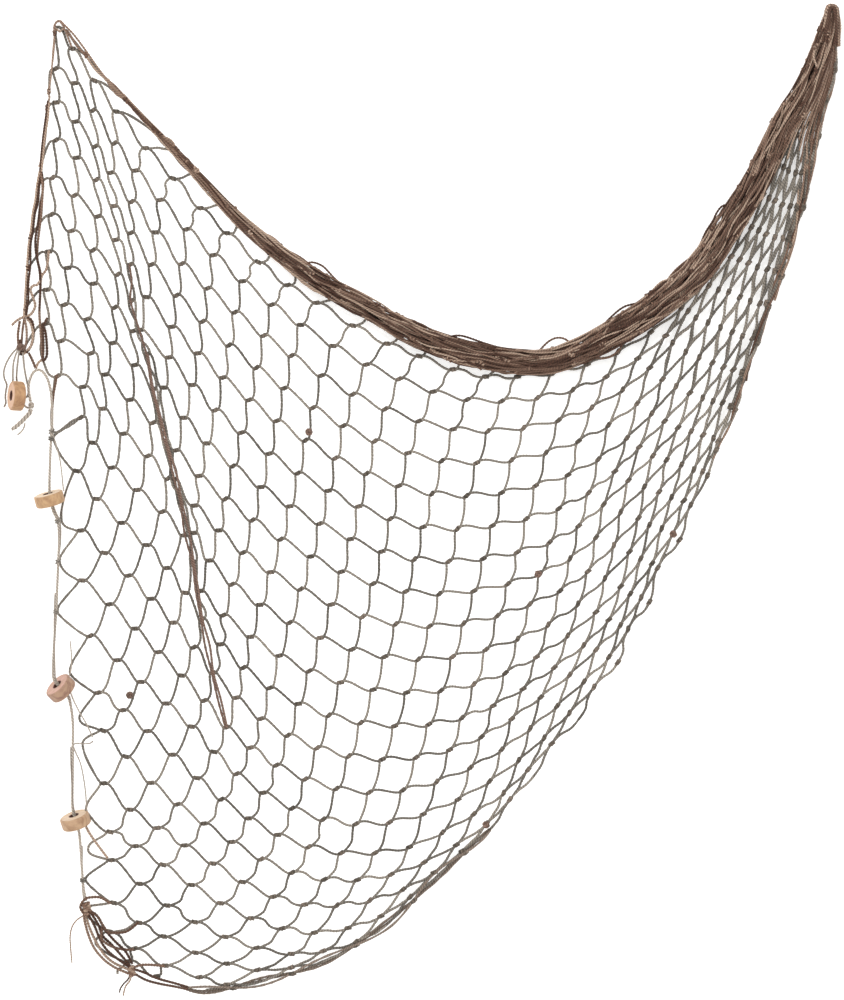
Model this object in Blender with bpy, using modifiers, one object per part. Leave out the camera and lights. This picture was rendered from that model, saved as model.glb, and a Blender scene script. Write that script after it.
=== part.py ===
"""Decorative gill net hung from two wall hooks, with four wooden floats on its edge line.

Metres, +Z up, X to the right, +Y towards the wall.  The origin is the right-hand hook, where
the gathered top edge ends.  The net is one piece: a thin sheet that follows the hung meshes,
rolled together along the top into a bundle, with bunched edges.  Its largest meshes are cut out.
Knots are counted along the twines: column a grows towards the right-hand hook, row b grows
downwards, and a straight twine keeps the same a or the same b.
"""
import math

import bmesh
import bpy
import numpy as np
from mathutils import Matrix, Vector

# ---------------------------------------------------------------- driving dimensions (metres)
SHEET_THICKNESS = 0.003
FLOAT_DIAMETER = 0.043
FLOAT_THICKNESS = 0.017
FLOAT_BORE = 0.011
FLOAT_EDGE_ROUNDING = 0.002
LINE_RADIUS = 0.0019
HANGER_RADIUS = 0.0014
EDGE_RADIUS = 0.0048              # of the bunched lower edge
BUNDLE_FLATTENING = 0.75          # depth of the gathered edge over its height
ROPE_SPACING = 0.024              # distance between the rings of a gathered edge
CORD_SPACING = 0.0125
TIE_SPACING = 0.0055
WELD = 0.00005

# Where the sheet lies in depth
SHEET_DEPTH = 0.008               # the middle of the sheet, just off the wall
BILLOW = 0.013                    # how far the lower left stands forward
BILLOW_CENTRE = (-0.95, -1.12)
BILLOW_REACH = 0.26
CREASE_HEIGHT = 0.014
CREASE_WIDTH = 0.020

# Lattice of the net, counted in meshes
LEFT_COLUMN = -15
FIRST_ROW = -5
SELVEDGE_LEVEL = -19              # a - b of the knots next to the float line
LOWER_EDGE = 19                   # a + b of the knots on the lower edge
TOP_LEVEL = 18                    # a - b where the sheet disappears in the right-hand bundle
BUNDLE_END_COLUMN = 4             # where row -5 slips into the bundle
SMOOTHING = 0.02                  # how far the sheet may pass beside a guide knot

HOOK_EYE = (-15, -4)
OPEN_MESHES = [(-12, 7), (-11, 8), (-10, 9), (-9, 10), (-8, 11), (-6, 13),
               (-8, 7), (-2, -1), (0, 1), (-3, -3), (-1, 3), (-6, -4)]
MESH_BORDER = 0.84                # size of a cut-out over the size of its mesh
EYE_BORDER = 0.66

# Knots placed by hand, row by row: (column, x, z)
GUIDE_ROWS = {
    -5: [(-14, -1.064, -0.088), (-12, -0.996, -0.162), (-10, -0.920, -0.243), (-8, -0.838, -0.325),
         (-6, -0.752, -0.390), (-4, -0.655, -0.445), (-2, -0.560, -0.488), (0, -0.470, -0.508),
         (2, -0.380, -0.500), (4, -0.295, -0.458)],
    -4: [(-15, -1.126, -0.016), (-14, -1.105, -0.054), (-12, -1.042, -0.145), (-10, -0.965, -0.233),
         (-8, -0.885, -0.315), (-5, -0.754, -0.418), (-2, -0.604, -0.496), (1, -0.456, -0.532),
         (3, -0.354, -0.514), (6, -0.215, -0.415), (9, -0.124, -0.300), (12, -0.048, -0.158),
         (15, -0.004, -0.025)],
    -2: [(-15, -1.131, -0.129), (-13, -1.073, -0.195), (-12, -1.046, -0.237), (-9, -0.947, -0.365),
         (-6, -0.827, -0.472), (-3, -0.697, -0.558), (0, -0.550, -0.609), (3, -0.396, -0.596),
         (5, -0.300, -0.547), (7, -0.222, -0.478), (9, -0.160, -0.399), (11, -0.102, -0.305),
         (14, -0.030, -0.160)],
    -1: [(-12, -1.045, -0.284)],
    0: [(-11, -1.021, -0.369)],
    1: [(-15, -1.139, -0.292), (-14, -1.107, -0.318), (-12, -1.044, -0.377), (-11, -1.019, -0.422),
        (-10, -1.007, -0.465), (-9, -0.966, -0.504), (-6, -0.860, -0.614), (-3, -0.733, -0.699),
        (0, -0.594, -0.752), (3, -0.443, -0.740), (6, -0.309, -0.661), (8, -0.236, -0.588),
        (10, -0.171, -0.503), (12, -0.118, -0.412), (14, -0.069, -0.316), (17, -0.008, -0.175)],
    2: [(-10, -0.996, -0.500)],
    3: [(-10, -0.987, -0.551), (-9, -0.976, -0.598), (15, -0.064, -0.370)],
    4: [(-15, -1.150, -0.457), (-13, -1.086, -0.498), (-11, -1.023, -0.566), (-9, -0.966, -0.637),
        (-8, -0.957, -0.682), (-6, -0.893, -0.757), (-3, -0.773, -0.843), (0, -0.634, -0.894),
        (3, -0.488, -0.886), (6, -0.351, -0.808), (9, -0.247, -0.695), (11, -0.181, -0.607),
        (14, -0.092, -0.466)],
    5: [(-8, -0.946, -0.718)],
    6: [(-8, -0.943, -0.764), (-7, -0.929, -0.803), (-6, -0.919, -0.845)],
    7: [(-13, -1.128, -0.622), (-12, -1.101, -0.671), (-10, -1.035, -0.746), (-8, -0.969, -0.812),
        (-6, -0.916, -0.886), (-5, -0.890, -0.923), (-3, -0.818, -0.987), (0, -0.685, -1.038),
        (3, -0.537, -1.029), (6, -0.399, -0.953), (9, -0.288, -0.836), (12, -0.190, -0.712)],
    8: [(-12, -1.122, -0.744), (-11, -1.0965, -0.757), (-5, -0.900, -0.964)],
    9: [(-4, -0.880, -1.043)],
    10: [(-10, -1.125, -0.876), (-9, -1.080, -0.911), (-7, -1.006, -0.978), (-5, -0.932, -1.043),
         (-3, -0.866, -1.112), (0, -0.740, -1.179), (3, -0.591, -1.170), (6, -0.454, -1.086),
         (9, -0.322, -0.965)],
    12: [(-8, -1.0965, -1.031)],
    13: [(-7, -1.090, -1.067), (-6, -1.060, -1.126), (-4, -0.982, -1.191), (-2, -0.901, -1.243),
         (0, -0.813, -1.292), (2, -0.717, -1.306), (4, -0.618, -1.274), (6, -0.530, -1.222)],
    16: [(-4, -1.086, -1.262), (-3, -1.047, -1.300), (-1, -0.965, -1.351), (1, -0.875, -1.388),
         (3, -0.790, -1.400)],
    18: [(-1, -1.019, -1.394), (1, -0.937, -1.424)],
}

# Knots along the crease, from the left-hand hook down: (column, row)
CREASE = [(-14, -3), (-13, -2), (-12, -1), (-11, 0), (-11, 1), (-10, 2), (-9, 3), (-9, 4),
          (-8, 5), (-7, 6), (-6, 7), (-5, 8), (-4, 9)]

# Middle of the gathered top edge, from the left-hand hook to the right-hand one: (x, z, radius)
BUNDLE = [(-1.126, -0.016, 0.0030), (-1.064, -0.088, 0.0035), (-0.994, -0.164, 0.0050),
          (-0.921, -0.242, 0.0075), (-0.850, -0.315, 0.0105), (-0.759, -0.385, 0.0140),
          (-0.683, -0.428, 0.0155), (-0.600, -0.474, 0.0170), (-0.517, -0.501, 0.0175),
          (-0.426, -0.512, 0.0180), (-0.368, -0.496, 0.0195), (-0.310, -0.466, 0.0215),
          (-0.256, -0.431, 0.0225), (-0.194, -0.378, 0.0225), (-0.148, -0.311, 0.0220),
          (-0.107, -0.245, 0.0200), (-0.070, -0.169, 0.0195), (-0.041, -0.121, 0.0190),
          (-0.020, -0.076, 0.0180), (-0.006, -0.034, 0.0160), (0.002, -0.003, 0.0120)]

# Gathered left-hand corner of the net, hanging from the left-hand hook
LEFT_BUNCH = [(-1.126, -0.016, 0.0030), (-1.133, -0.040, 0.0035), (-1.137, -0.090, 0.0040),
              (-1.142, -0.140, 0.0045), (-1.148, -0.190, 0.0050), (-1.153, -0.240, 0.0055),
              (-1.161, -0.295, 0.0060), (-1.170, -0.355, 0.0065), (-1.175, -0.410, 0.0070),
              (-1.177, -0.450, 0.0065), (-1.179, -0.482, 0.0050)]

# Edge line, from the knot beside the loose float down to the corner knot: (x, y, z)
FLOAT_LINE = [(-1.1665, -0.004, -0.569), (-1.1685, -0.006, -0.558), (-1.1690, -0.008, -0.547),
              (-1.1665, -0.009, -0.536), (-1.1620, -0.010, -0.527), (-1.1560, -0.010, -0.523),
              (-1.1495, -0.010, -0.5245), (-1.1435, -0.009, -0.532), (-1.1390, -0.008, -0.543),
              (-1.1360, -0.007, -0.560), (-1.1350, -0.006, -0.586), (-1.1360, -0.005, -0.613),
              (-1.1375, -0.005, -0.640), (-1.1385, -0.005, -0.669), (-1.1390, -0.005, -0.692),
              (-1.1380, -0.005, -0.711), (-1.1330, -0.005, -0.729), (-1.1265, -0.005, -0.745),
              (-1.1250, -0.005, -0.771), (-1.1260, -0.005, -0.800), (-1.1275, -0.005, -0.836),
              (-1.1290, -0.005, -0.873), (-1.1310, -0.006, -0.905), (-1.1325, -0.007, -0.935),
              (-1.1330, -0.010, -0.960), (-1.1315, -0.011, -0.974), (-1.1225, -0.005, -0.987),
              (-1.1130, 0.001, -0.999), (-1.1085, 0.001, -1.014), (-1.1055, -0.001, -1.037),
              (-1.1050, -0.004, -1.070), (-1.1050, -0.005, -1.107), (-1.1055, -0.005, -1.143),
              (-1.1050, -0.006, -1.163), (-1.1010, -0.005, -1.180), (-1.0960, -0.004, -1.197),
              (-1.0935, -0.005, -1.221), (-1.0915, -0.006, -1.250), (-1.0890, -0.007, -1.278),
              (-1.0855, -0.007, -1.2965)]

# Floats: centre (x, y, z) and the direction that the nearer face looks in
FLOATS = {
    "float_1": ((-1.186, -0.010, -0.561), (-0.91, -0.41, 0.05)),
    "float_2": ((-1.1390, -0.005, -0.711), (-0.24, -0.20, 0.95)),
    "float_3": ((-1.1225, -0.005, -0.987), (-0.60, -0.42, 0.68)),
    "float_4": ((-1.101, -0.005, -1.180), (-0.27, -0.24, 0.93)),
}

# Twines that hold the loose float: one with a free end on its left, a loop behind it, and one
# that crosses behind it
HANGERS = {
    "float_hanger_left": [(-1.1885, -0.010, -0.4945), (-1.1985, -0.010, -0.508),
                          (-1.2045, -0.009, -0.523), (-1.2050, -0.005, -0.534),
                          (-1.2025, 0.003, -0.544), (-1.2045, 0.008, -0.553),
                          (-1.2055, 0.009, -0.562), (-1.2045, 0.007, -0.570),
                          (-1.2065, 0.004, -0.577)],
    "float_hanger_loop": [(-1.1825, -0.010, -0.4975), (-1.1850, -0.009, -0.515),
                          (-1.1870, -0.004, -0.530), (-1.1880, 0.004, -0.5365),
                          (-1.1870, 0.012, -0.546), (-1.1830, 0.0165, -0.556),
                          (-1.1760, 0.0135, -0.562), (-1.1715, 0.006, -0.558),
                          (-1.1705, -0.001, -0.548), (-1.1725, -0.006, -0.536),
                          (-1.1750, -0.009, -0.520), (-1.1770, -0.010, -0.4975)],
    "float_hanger_cross": [(-1.1860, -0.010, -0.4975), (-1.1905, -0.010, -0.512),
                           (-1.1920, -0.007, -0.526), (-1.1930, 0.000, -0.5365),
                           (-1.1945, 0.009, -0.544), (-1.1925, 0.0170, -0.556),
                           (-1.1845, 0.0190, -0.568), (-1.1760, 0.0120, -0.576),
                           (-1.1705, 0.0035, -0.578)],
}
HANGER_KNOT = (-1.1800, -0.010, -0.490)
HANGER_KNOT_SIZE = (0.0065, 0.0050, 0.0055)

# Free ends: a route and a radius each
FREE_ENDS = {
    "line_tail": ([(-1.1660, -0.006, -0.5805), (-1.1680, -0.008, -0.5865), (-1.1730, -0.008, -0.592),
                   (-1.1800, -0.007, -0.599), (-1.1870, -0.006, -0.605), (-1.1940, -0.006, -0.610)],
                  0.0030),
    "line_tail_thin": ([(-1.1750, -0.004, -0.6005), (-1.1760, -0.004, -0.606),
                        (-1.1795, -0.004, -0.612), (-1.1860, -0.004, -0.618)], 0.0012),
    "corner_tail": ([(-1.0905, -0.006, -1.3190), (-1.0990, -0.006, -1.325),
                     (-1.1060, -0.005, -1.335), (-1.1090, -0.004, -1.350),
                     (-1.1080, -0.003, -1.370), (-1.1065, -0.002, -1.389)], 0.0011),
    "edge_tie_end_left": ([(-1.0245, -0.008, -1.4115), (-1.0300, -0.007, -1.417),
                           (-1.0350, -0.006, -1.424), (-1.0370, -0.005, -1.431)], 0.0012),
    "edge_tie_end_right": ([(-1.0215, -0.010, -1.4130), (-1.0270, -0.011, -1.420),
                            (-1.0295, -0.011, -1.428), (-1.0310, -0.010, -1.435)], 0.0012),
}
LINE_KNOT = (-1.1655, -0.004, -0.5745)
LINE_KNOT_SIZE = (0.0045, 0.0045, 0.0048)
CORNER_KNOT = (-1.0840, -0.006, -1.3080)
CORNER_KNOT_SIZE = (0.0085, 0.0080, 0.0110)
EDGE_TIE = (-1.0190, -0.0080, -1.3990)
EDGE_TIE_SIZE = (0.0075, 0.0045, 0.0095)


# ---------------------------------------------------------------- the hung lattice
def thin_plate(distance):
    """Kernel of the smooth surface through the guide knots."""
    return np.where(distance > 1e-9, distance ** 2 * np.log(np.maximum(distance, 1e-9)), 0.0)


class Lattice:
    """Smooth map from (column, row) to a place in the hung net."""

    def __init__(self, rows):
        knots = [(a, b, x, z) for b, row in rows.items() for a, x, z in row]
        table = np.array(knots, dtype=float)
        self.sites = table[:, :2]
        count = len(table)
        gaps = np.linalg.norm(self.sites[:, None] - self.sites[None], axis=2)
        system = np.zeros((count + 3, count + 3))
        system[:count, :count] = thin_plate(gaps) + SMOOTHING * np.eye(count)
        system[:count, count] = 1.0
        system[:count, count + 1:] = self.sites
        system[count:, :count] = system[:count, count:].T
        goal = np.zeros((count + 3, 2))
        goal[:count] = table[:, 2:]
        self.weights = np.linalg.solve(system, goal)
        self.crease = [Vector((*self.flat(a, b), 0.0)) for a, b in CREASE]

    def flat(self, a, b):
        """x and z of the lattice point (a, b)."""
        gap = np.hypot(self.sites[:, 0] - a, self.sites[:, 1] - b)
        row = np.concatenate([thin_plate(gap), [1.0, a, b]])
        return row @ self.weights

    def depth(self, x, z):
        """y of the sheet: near the wall, forward at the lower left and along the crease."""
        away = math.hypot(x - BILLOW_CENTRE[0], z - BILLOW_CENTRE[1])
        billow = BILLOW * math.exp(-(away / BILLOW_REACH) ** 2)
        point = Vector((x, z, 0.0))
        nearest = min(distance_to_segment(point, p, q) for p, q in zip(self.crease, self.crease[1:]))
        fold = CREASE_HEIGHT * math.exp(-(nearest / CREASE_WIDTH) ** 2)
        return SHEET_DEPTH - billow - fold

    def point(self, a, b):
        x, z = self.flat(a, b)
        return Vector((x, self.depth(x, z), z))


def distance_to_segment(point, start, end):
    along = end - start
    share = max(0.0, min(1.0, (point - start).dot(along) / along.length_squared))
    return (point - start - along * share).length


# ---------------------------------------------------------------- scene helpers
def clear_scene():
    for item in list(bpy.data.objects):
        bpy.data.objects.remove(item, do_unlink=True)


def new_collection(name):
    made = bpy.data.collections.new(name)
    bpy.context.scene.collection.children.link(made)
    return made


def material(name, colour, roughness):
    made = bpy.data.materials.new(name)
    made.use_nodes = True
    shader = made.node_tree.nodes["Principled BSDF"]
    shader.inputs["Base Color"].default_value = (*colour, 1.0)
    shader.inputs["Roughness"].default_value = roughness
    return made


def add_object(name, data, collection, look=None):
    made = bpy.data.objects.new(name, data)
    collection.objects.link(made)
    if look:
        data.materials.append(look)
    return made


def smooth_route(points, spacing):
    """Evenly spaced points on a Catmull-Rom curve through the given ones (any dimension)."""
    given = np.array(points, dtype=float)
    ends = np.vstack([2 * given[0] - given[1], given, 2 * given[-1] - given[-2]])
    fine = []
    for p0, p1, p2, p3 in zip(ends, ends[1:], ends[2:], ends[3:]):
        for t in np.linspace(0.0, 1.0, 12, endpoint=False):
            fine.append(0.5 * (2 * p1 + (p2 - p0) * t + (2 * p0 - 5 * p1 + 4 * p2 - p3) * t ** 2
                               + (3 * p1 - 3 * p2 + p3 - p0) * t ** 3))
    fine.append(given[-1])
    fine = np.array(fine)
    run = np.concatenate([[0.0], np.cumsum(np.linalg.norm(np.diff(fine[:, :3], axis=0), axis=1))])
    stops = np.linspace(0.0, run[-1], max(2, int(round(run[-1] / spacing)) + 1))
    return np.column_stack([np.interp(stops, run, fine[:, k]) for k in range(fine.shape[1])])


def tube(name, route, collection, look=None, radius=None, resolution=2):
    """Round tube along a route of (x, y, z), or of (x, y, z, radius) when radius is None."""
    curve = bpy.data.curves.new(name, "CURVE")
    curve.dimensions = "3D"
    curve.bevel_resolution = resolution
    curve.use_fill_caps = True
    curve.bevel_depth = 1.0 if radius is None else radius
    spline = curve.splines.new("POLY")
    spline.points.add(len(route) - 1)
    for spot, place in zip(spline.points, route):
        spot.co = (place[0], place[1], place[2], 1.0)
        spot.radius = place[3] if radius is None else 1.0
    return add_object(name, curve, collection, look)


def as_mesh(source, collection, flatten=1.0):
    """Replace a curve object by its welded mesh, flattened in depth about y = 0."""
    graph = bpy.context.evaluated_depsgraph_get()
    mesh = bpy.data.meshes.new_from_object(source.evaluated_get(graph))
    work = bmesh.new()
    work.from_mesh(mesh)
    bmesh.ops.remove_doubles(work, verts=work.verts, dist=WELD)
    bmesh.ops.scale(work, vec=(1.0, flatten, 1.0), verts=work.verts)
    bmesh.ops.recalc_face_normals(work, faces=work.faces)
    work.to_mesh(mesh)
    work.free()
    name = source.name
    bpy.data.objects.remove(source, do_unlink=True)
    made = add_object(name, mesh, collection)
    made.hide_render = True
    made.display_type = "WIRE"
    return made


def turned(name, profile, collection, look, sides):
    """Body of revolution about its own Z, from an outline that is open on the axis side."""
    mesh = bpy.data.meshes.new(name)
    edges = [(k, (k + 1) % len(profile)) for k in range(len(profile))]
    mesh.from_pydata([(r, 0.0, z) for r, z in profile], edges, [])
    made = add_object(name, mesh, collection, look)
    screw = made.modifiers.new("turn", "SCREW")
    screw.axis = "Z"
    screw.steps = sides
    screw.render_steps = sides
    screw.use_merge_vertices = True
    screw.merge_threshold = WELD
    screw.use_normal_calculate = True
    return made


def lump(name, place, size, collection, look):
    """Small rounded knot."""
    work = bmesh.new()
    bmesh.ops.create_uvsphere(work, u_segments=12, v_segments=8, radius=1.0)
    bmesh.ops.scale(work, vec=size, verts=work.verts)
    mesh = bpy.data.meshes.new(name)
    work.to_mesh(mesh)
    work.free()
    mesh.shade_smooth()
    made = add_object(name, mesh, collection, look)
    made.location = place
    return made


# ---------------------------------------------------------------- the net
def net_cells():
    """Meshes that the sheet covers, as (column, row) of their upper left knot."""
    cells = []
    for b in range(FIRST_ROW, LOWER_EDGE):
        for a in range(LEFT_COLUMN, LOWER_EDGE):
            above_bundle = b == FIRST_ROW and not LEFT_COLUMN < a < BUNDLE_END_COLUMN
            past_edge = a + b > LOWER_EDGE - 2
            past_float_line = a - b < SELVEDGE_LEVEL
            past_hook = a - b > TOP_LEVEL - 2
            if not (above_bundle or past_edge or past_float_line or past_hook):
                cells.append((a, b))
    return cells


class SheetBuilder:
    """Collects the faces of the net's sheet, one mesh of the net at a time."""

    def __init__(self, lattice):
        self.lattice = lattice
        self.work = bmesh.new()
        self.corners = {}
        near_crease = {(a + i, b + j) for a, b in CREASE for i in (-1, 0) for j in (-1, 0)}
        self.open_cells = set(OPEN_MESHES) | {HOOK_EYE}
        self.fine_cells = near_crease | self.open_cells

    def corner(self, a, b):
        key = (a, b)
        if key not in self.corners:
            self.corners[key] = self.work.verts.new(self.lattice.point(a, b))
        return self.corners[key]

    def ring(self, a, b):
        """Outline of a mesh: its knots, and the middle of each bar that a fine mesh shares."""
        turns = [((a, b), (a, b - 1)), ((a + 1, b), (a + 1, b)),
                 ((a + 1, b + 1), (a, b + 1)), ((a, b + 1), (a - 1, b))]
        middles = [(a + 0.5, b), (a + 1, b + 0.5), (a + 0.5, b + 1), (a, b + 0.5)]
        outline = []
        for (knot, neighbour), middle in zip(turns, middles):
            outline.append(self.corner(*knot))
            if (a, b) in self.fine_cells or neighbour in self.fine_cells:
                outline.append(self.corner(*middle))
        return outline

    def add_cell(self, a, b):
        outline = self.ring(a, b)
        if (a, b) in self.open_cells:
            centre = sum((v.co for v in outline), Vector()) / len(outline)
            share = EYE_BORDER if (a, b) == HOOK_EYE else MESH_BORDER
            inner = [self.work.verts.new(centre + (v.co - centre) * share) for v in outline]
            for k in range(len(outline)):
                after = (k + 1) % len(outline)
                self.work.faces.new((outline[k], outline[after], inner[after], inner[k]))
        elif (a, b) in self.fine_cells:
            centre = self.corner(a + 0.5, b + 0.5)
            for k in range(len(outline)):
                self.work.faces.new((outline[k], outline[(k + 1) % len(outline)], centre))
        else:
            self.work.faces.new(outline)

    def mesh(self, name):
        bmesh.ops.triangulate(self.work, faces=self.work.faces)
        bmesh.ops.recalc_face_normals(self.work, faces=self.work.faces)
        made = bpy.data.meshes.new(name)
        self.work.to_mesh(made)
        self.work.free()
        return made


def edge_rope(lattice):
    """Bunched lower edge: from the right-hand hook down and round to the corner knot."""
    route = [(0.004, 0.0, -0.020, 0.0060)]
    for level in range(17, SELVEDGE_LEVEL + 1, -2):
        place = lattice.point((LOWER_EDGE + level) / 2, (LOWER_EDGE - level) / 2)
        route.append((place.x, place.y, place.z, EDGE_RADIUS))
    route += [(-0.984, 0.004, -1.412, 0.0055), (-1.019, 0.004, -1.396, 0.0060),
              (-1.050, 0.000, -1.364, 0.0060), (-1.070, -0.004, -1.334, 0.0055),
              (-1.0765, -0.006, -1.322, 0.0040)]
    return smooth_route(route, ROPE_SPACING)


def build_net(lattice, parts, helpers, look):
    builder = SheetBuilder(lattice)
    for a, b in net_cells():
        builder.add_cell(a, b)
    net = add_object("net", builder.mesh("net"), parts, look)
    solidify = net.modifiers.new("thickness", "SOLIDIFY")
    solidify.thickness = SHEET_THICKNESS
    solidify.offset = 0.0
    solidify.use_even_offset = False

    bundle_route = smooth_route([(x, 0.0, z, r) for x, z, r in BUNDLE], ROPE_SPACING)
    bunch_route = smooth_route([(x, 0.0, z, r) for x, z, r in LEFT_BUNCH], ROPE_SPACING)
    members = [as_mesh(tube("bundle", bundle_route, helpers), helpers, BUNDLE_FLATTENING),
               as_mesh(tube("left_bunch", bunch_route, helpers), helpers),
               as_mesh(tube("edge_rope", edge_rope(lattice), helpers), helpers)]
    for member in members:
        join = net.modifiers.new(member.name, "BOOLEAN")
        join.operation = "UNION"
        join.solver = "EXACT"
        join.object = member


# ---------------------------------------------------------------- floats, line and ties
def float_profile():
    """Outline of a float's ring section, from the top outside corner down and back up the bore."""
    outer = FLOAT_DIAMETER / 2
    bore = FLOAT_BORE / 2
    half = FLOAT_THICKNESS / 2
    soft = FLOAT_EDGE_ROUNDING
    return [(outer - soft, half), (outer, half - soft), (outer, -half + soft),
            (outer - soft, -half), (bore, -half), (bore, half)]


def build_floats(parts, look):
    for name, (centre, facing) in FLOATS.items():
        body = turned(name, float_profile(), parts, look, sides=32)
        body.matrix_world = (Matrix.Translation(centre)
                             @ Vector(facing).to_track_quat("Z", "Y").to_matrix().to_4x4())


def build_line_and_ties(parts, line_look, twine_look):
    tube("float_line", smooth_route(FLOAT_LINE, CORD_SPACING), parts, line_look, LINE_RADIUS)
    for name, route in HANGERS.items():
        tube(name, smooth_route(route, TIE_SPACING), parts, twine_look, HANGER_RADIUS)
    for name, (route, radius) in FREE_ENDS.items():
        look = line_look if name.startswith("line") else twine_look
        tube(name, smooth_route(route, TIE_SPACING), parts, look, radius)
    lump("hanger_knot", HANGER_KNOT, HANGER_KNOT_SIZE, parts, twine_look)
    lump("line_knot", LINE_KNOT, LINE_KNOT_SIZE, parts, line_look)
    lump("corner_knot", CORNER_KNOT, CORNER_KNOT_SIZE, parts, twine_look)
    lump("edge_tie", EDGE_TIE, EDGE_TIE_SIZE, parts, twine_look)


def main():
    clear_scene()
    parts = new_collection("gill_net")
    helpers = new_collection("helpers")
    net_look = material("net_twine", (0.25, 0.20, 0.155), 0.85)
    line_look = material("line_cord", (0.45, 0.38, 0.31), 0.85)
    wood_look = material("float_wood", (0.66, 0.44, 0.27), 0.60)
    lattice = Lattice(GUIDE_ROWS)
    build_net(lattice, parts, helpers, net_look)
    build_floats(parts, wood_look)
    build_line_and_ties(parts, line_look, net_look)


main()
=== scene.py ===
"""Looks of a decorative gill net: every twine and knot of the hung netting, its edge line and floats.

Metres, in the CAD model's frame: +Z up, X to the right, +Y towards the wall, the origin at the
right-hand hook.  Knots are counted along the twines, as in the CAD model: column a grows towards
the right-hand hook and row b grows downwards.  A straight twine keeps the same a or the same b.
Two sums of them matter: level = a - b is the distance from the float line, counted in bars, and
depth row = a + b is the distance from the gathered top edge.
"""
import math

import bpy
import numpy as np
from mathutils import Matrix, Vector


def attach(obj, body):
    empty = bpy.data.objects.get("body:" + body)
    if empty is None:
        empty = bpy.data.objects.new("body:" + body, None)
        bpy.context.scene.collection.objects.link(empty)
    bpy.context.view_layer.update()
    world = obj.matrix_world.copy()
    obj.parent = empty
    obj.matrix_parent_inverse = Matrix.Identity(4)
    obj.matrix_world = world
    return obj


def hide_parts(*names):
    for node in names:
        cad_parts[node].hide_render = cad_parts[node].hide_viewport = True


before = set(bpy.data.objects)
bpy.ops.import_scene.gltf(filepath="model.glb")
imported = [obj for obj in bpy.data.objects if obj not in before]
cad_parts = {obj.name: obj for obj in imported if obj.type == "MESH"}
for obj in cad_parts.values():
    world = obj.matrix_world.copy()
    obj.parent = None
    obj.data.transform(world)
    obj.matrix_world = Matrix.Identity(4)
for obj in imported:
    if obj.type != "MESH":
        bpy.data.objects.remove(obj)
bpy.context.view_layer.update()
RANDOM = np.random.default_rng(7)

# ---------------------------------------------------------------- driving dimensions (metres)
BAR = 0.050                       # from knot to knot
TWINE = 0.00190                   # radius of the net's twine
LINE = 0.0019                     # radius of the float line
THIN_LINE = 0.0010                # radius of the second line
LAY = 0.0085                      # length of one full twist of a twine
KNOT_HALF = 0.0044                # half the length of a knot
KNOT_COIL = 0.0017                # radius of the turns of a knot

SHEET_DEPTH = 0.008               # y of the sheet where it hangs flat
BILLOW = 0.013                    # how far the lower left comes forward
BILLOW_CENTRE = (-0.95, -1.12)    # x and z
BILLOW_REACH = 0.26
CREASE_HEIGHT = 0.014
CREASE_WIDTH = 0.020
BUNDLE_FLATTENING = 0.75          # depth of the bundle's section over its width
SHADE_CORE_SHARE = 0.40                # radius of the bundle's painted-shade core over its own: a near-black tube that stands in for the shade between its strands
BUNDLE_STRAND = TWINE * 0.68      # radius of the long twines in the bundle and the fan
BUNDLE_STRANDS = 46
FAN_STRANDS = 22
HOOK_STRANDS = 13
HITCH_REACH = 0.008               # a loop of the net this near the float line is hitched to it
WALL_DEPTH = 0.0215
FLOOR_HEIGHT = -1.62
VIEW_HEIGHT = 1.46                # what the camera sees from top to bottom
TO_WALL = np.array([0.0, 1.0, 0.0])

LEFT_COLUMN = -15
TOP_ROW = -4                      # first row of the open net
LINE_LEVEL = -20                  # loops on the float line
HOOK_LEVEL = 20                   # the right-hand hook
EDGE_ROW = 20                     # loops of the lower edge
LEFT_HOOK_LEVEL = -11
SMOOTHING = 0.02                  # slack allowed in the listed knots

# Rows hidden in the gathered top edge, from the left-hand hook to the right-hand one: (level, rows)
GATHERED_ROWS = [(-11, 2), (-8, 4), (-5, 10), (-2, 18), (2, 28), (6, 36), (10, 40), (14, 40), (20, 36)]
LEFT_BUNCH_ROWS = 3
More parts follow.
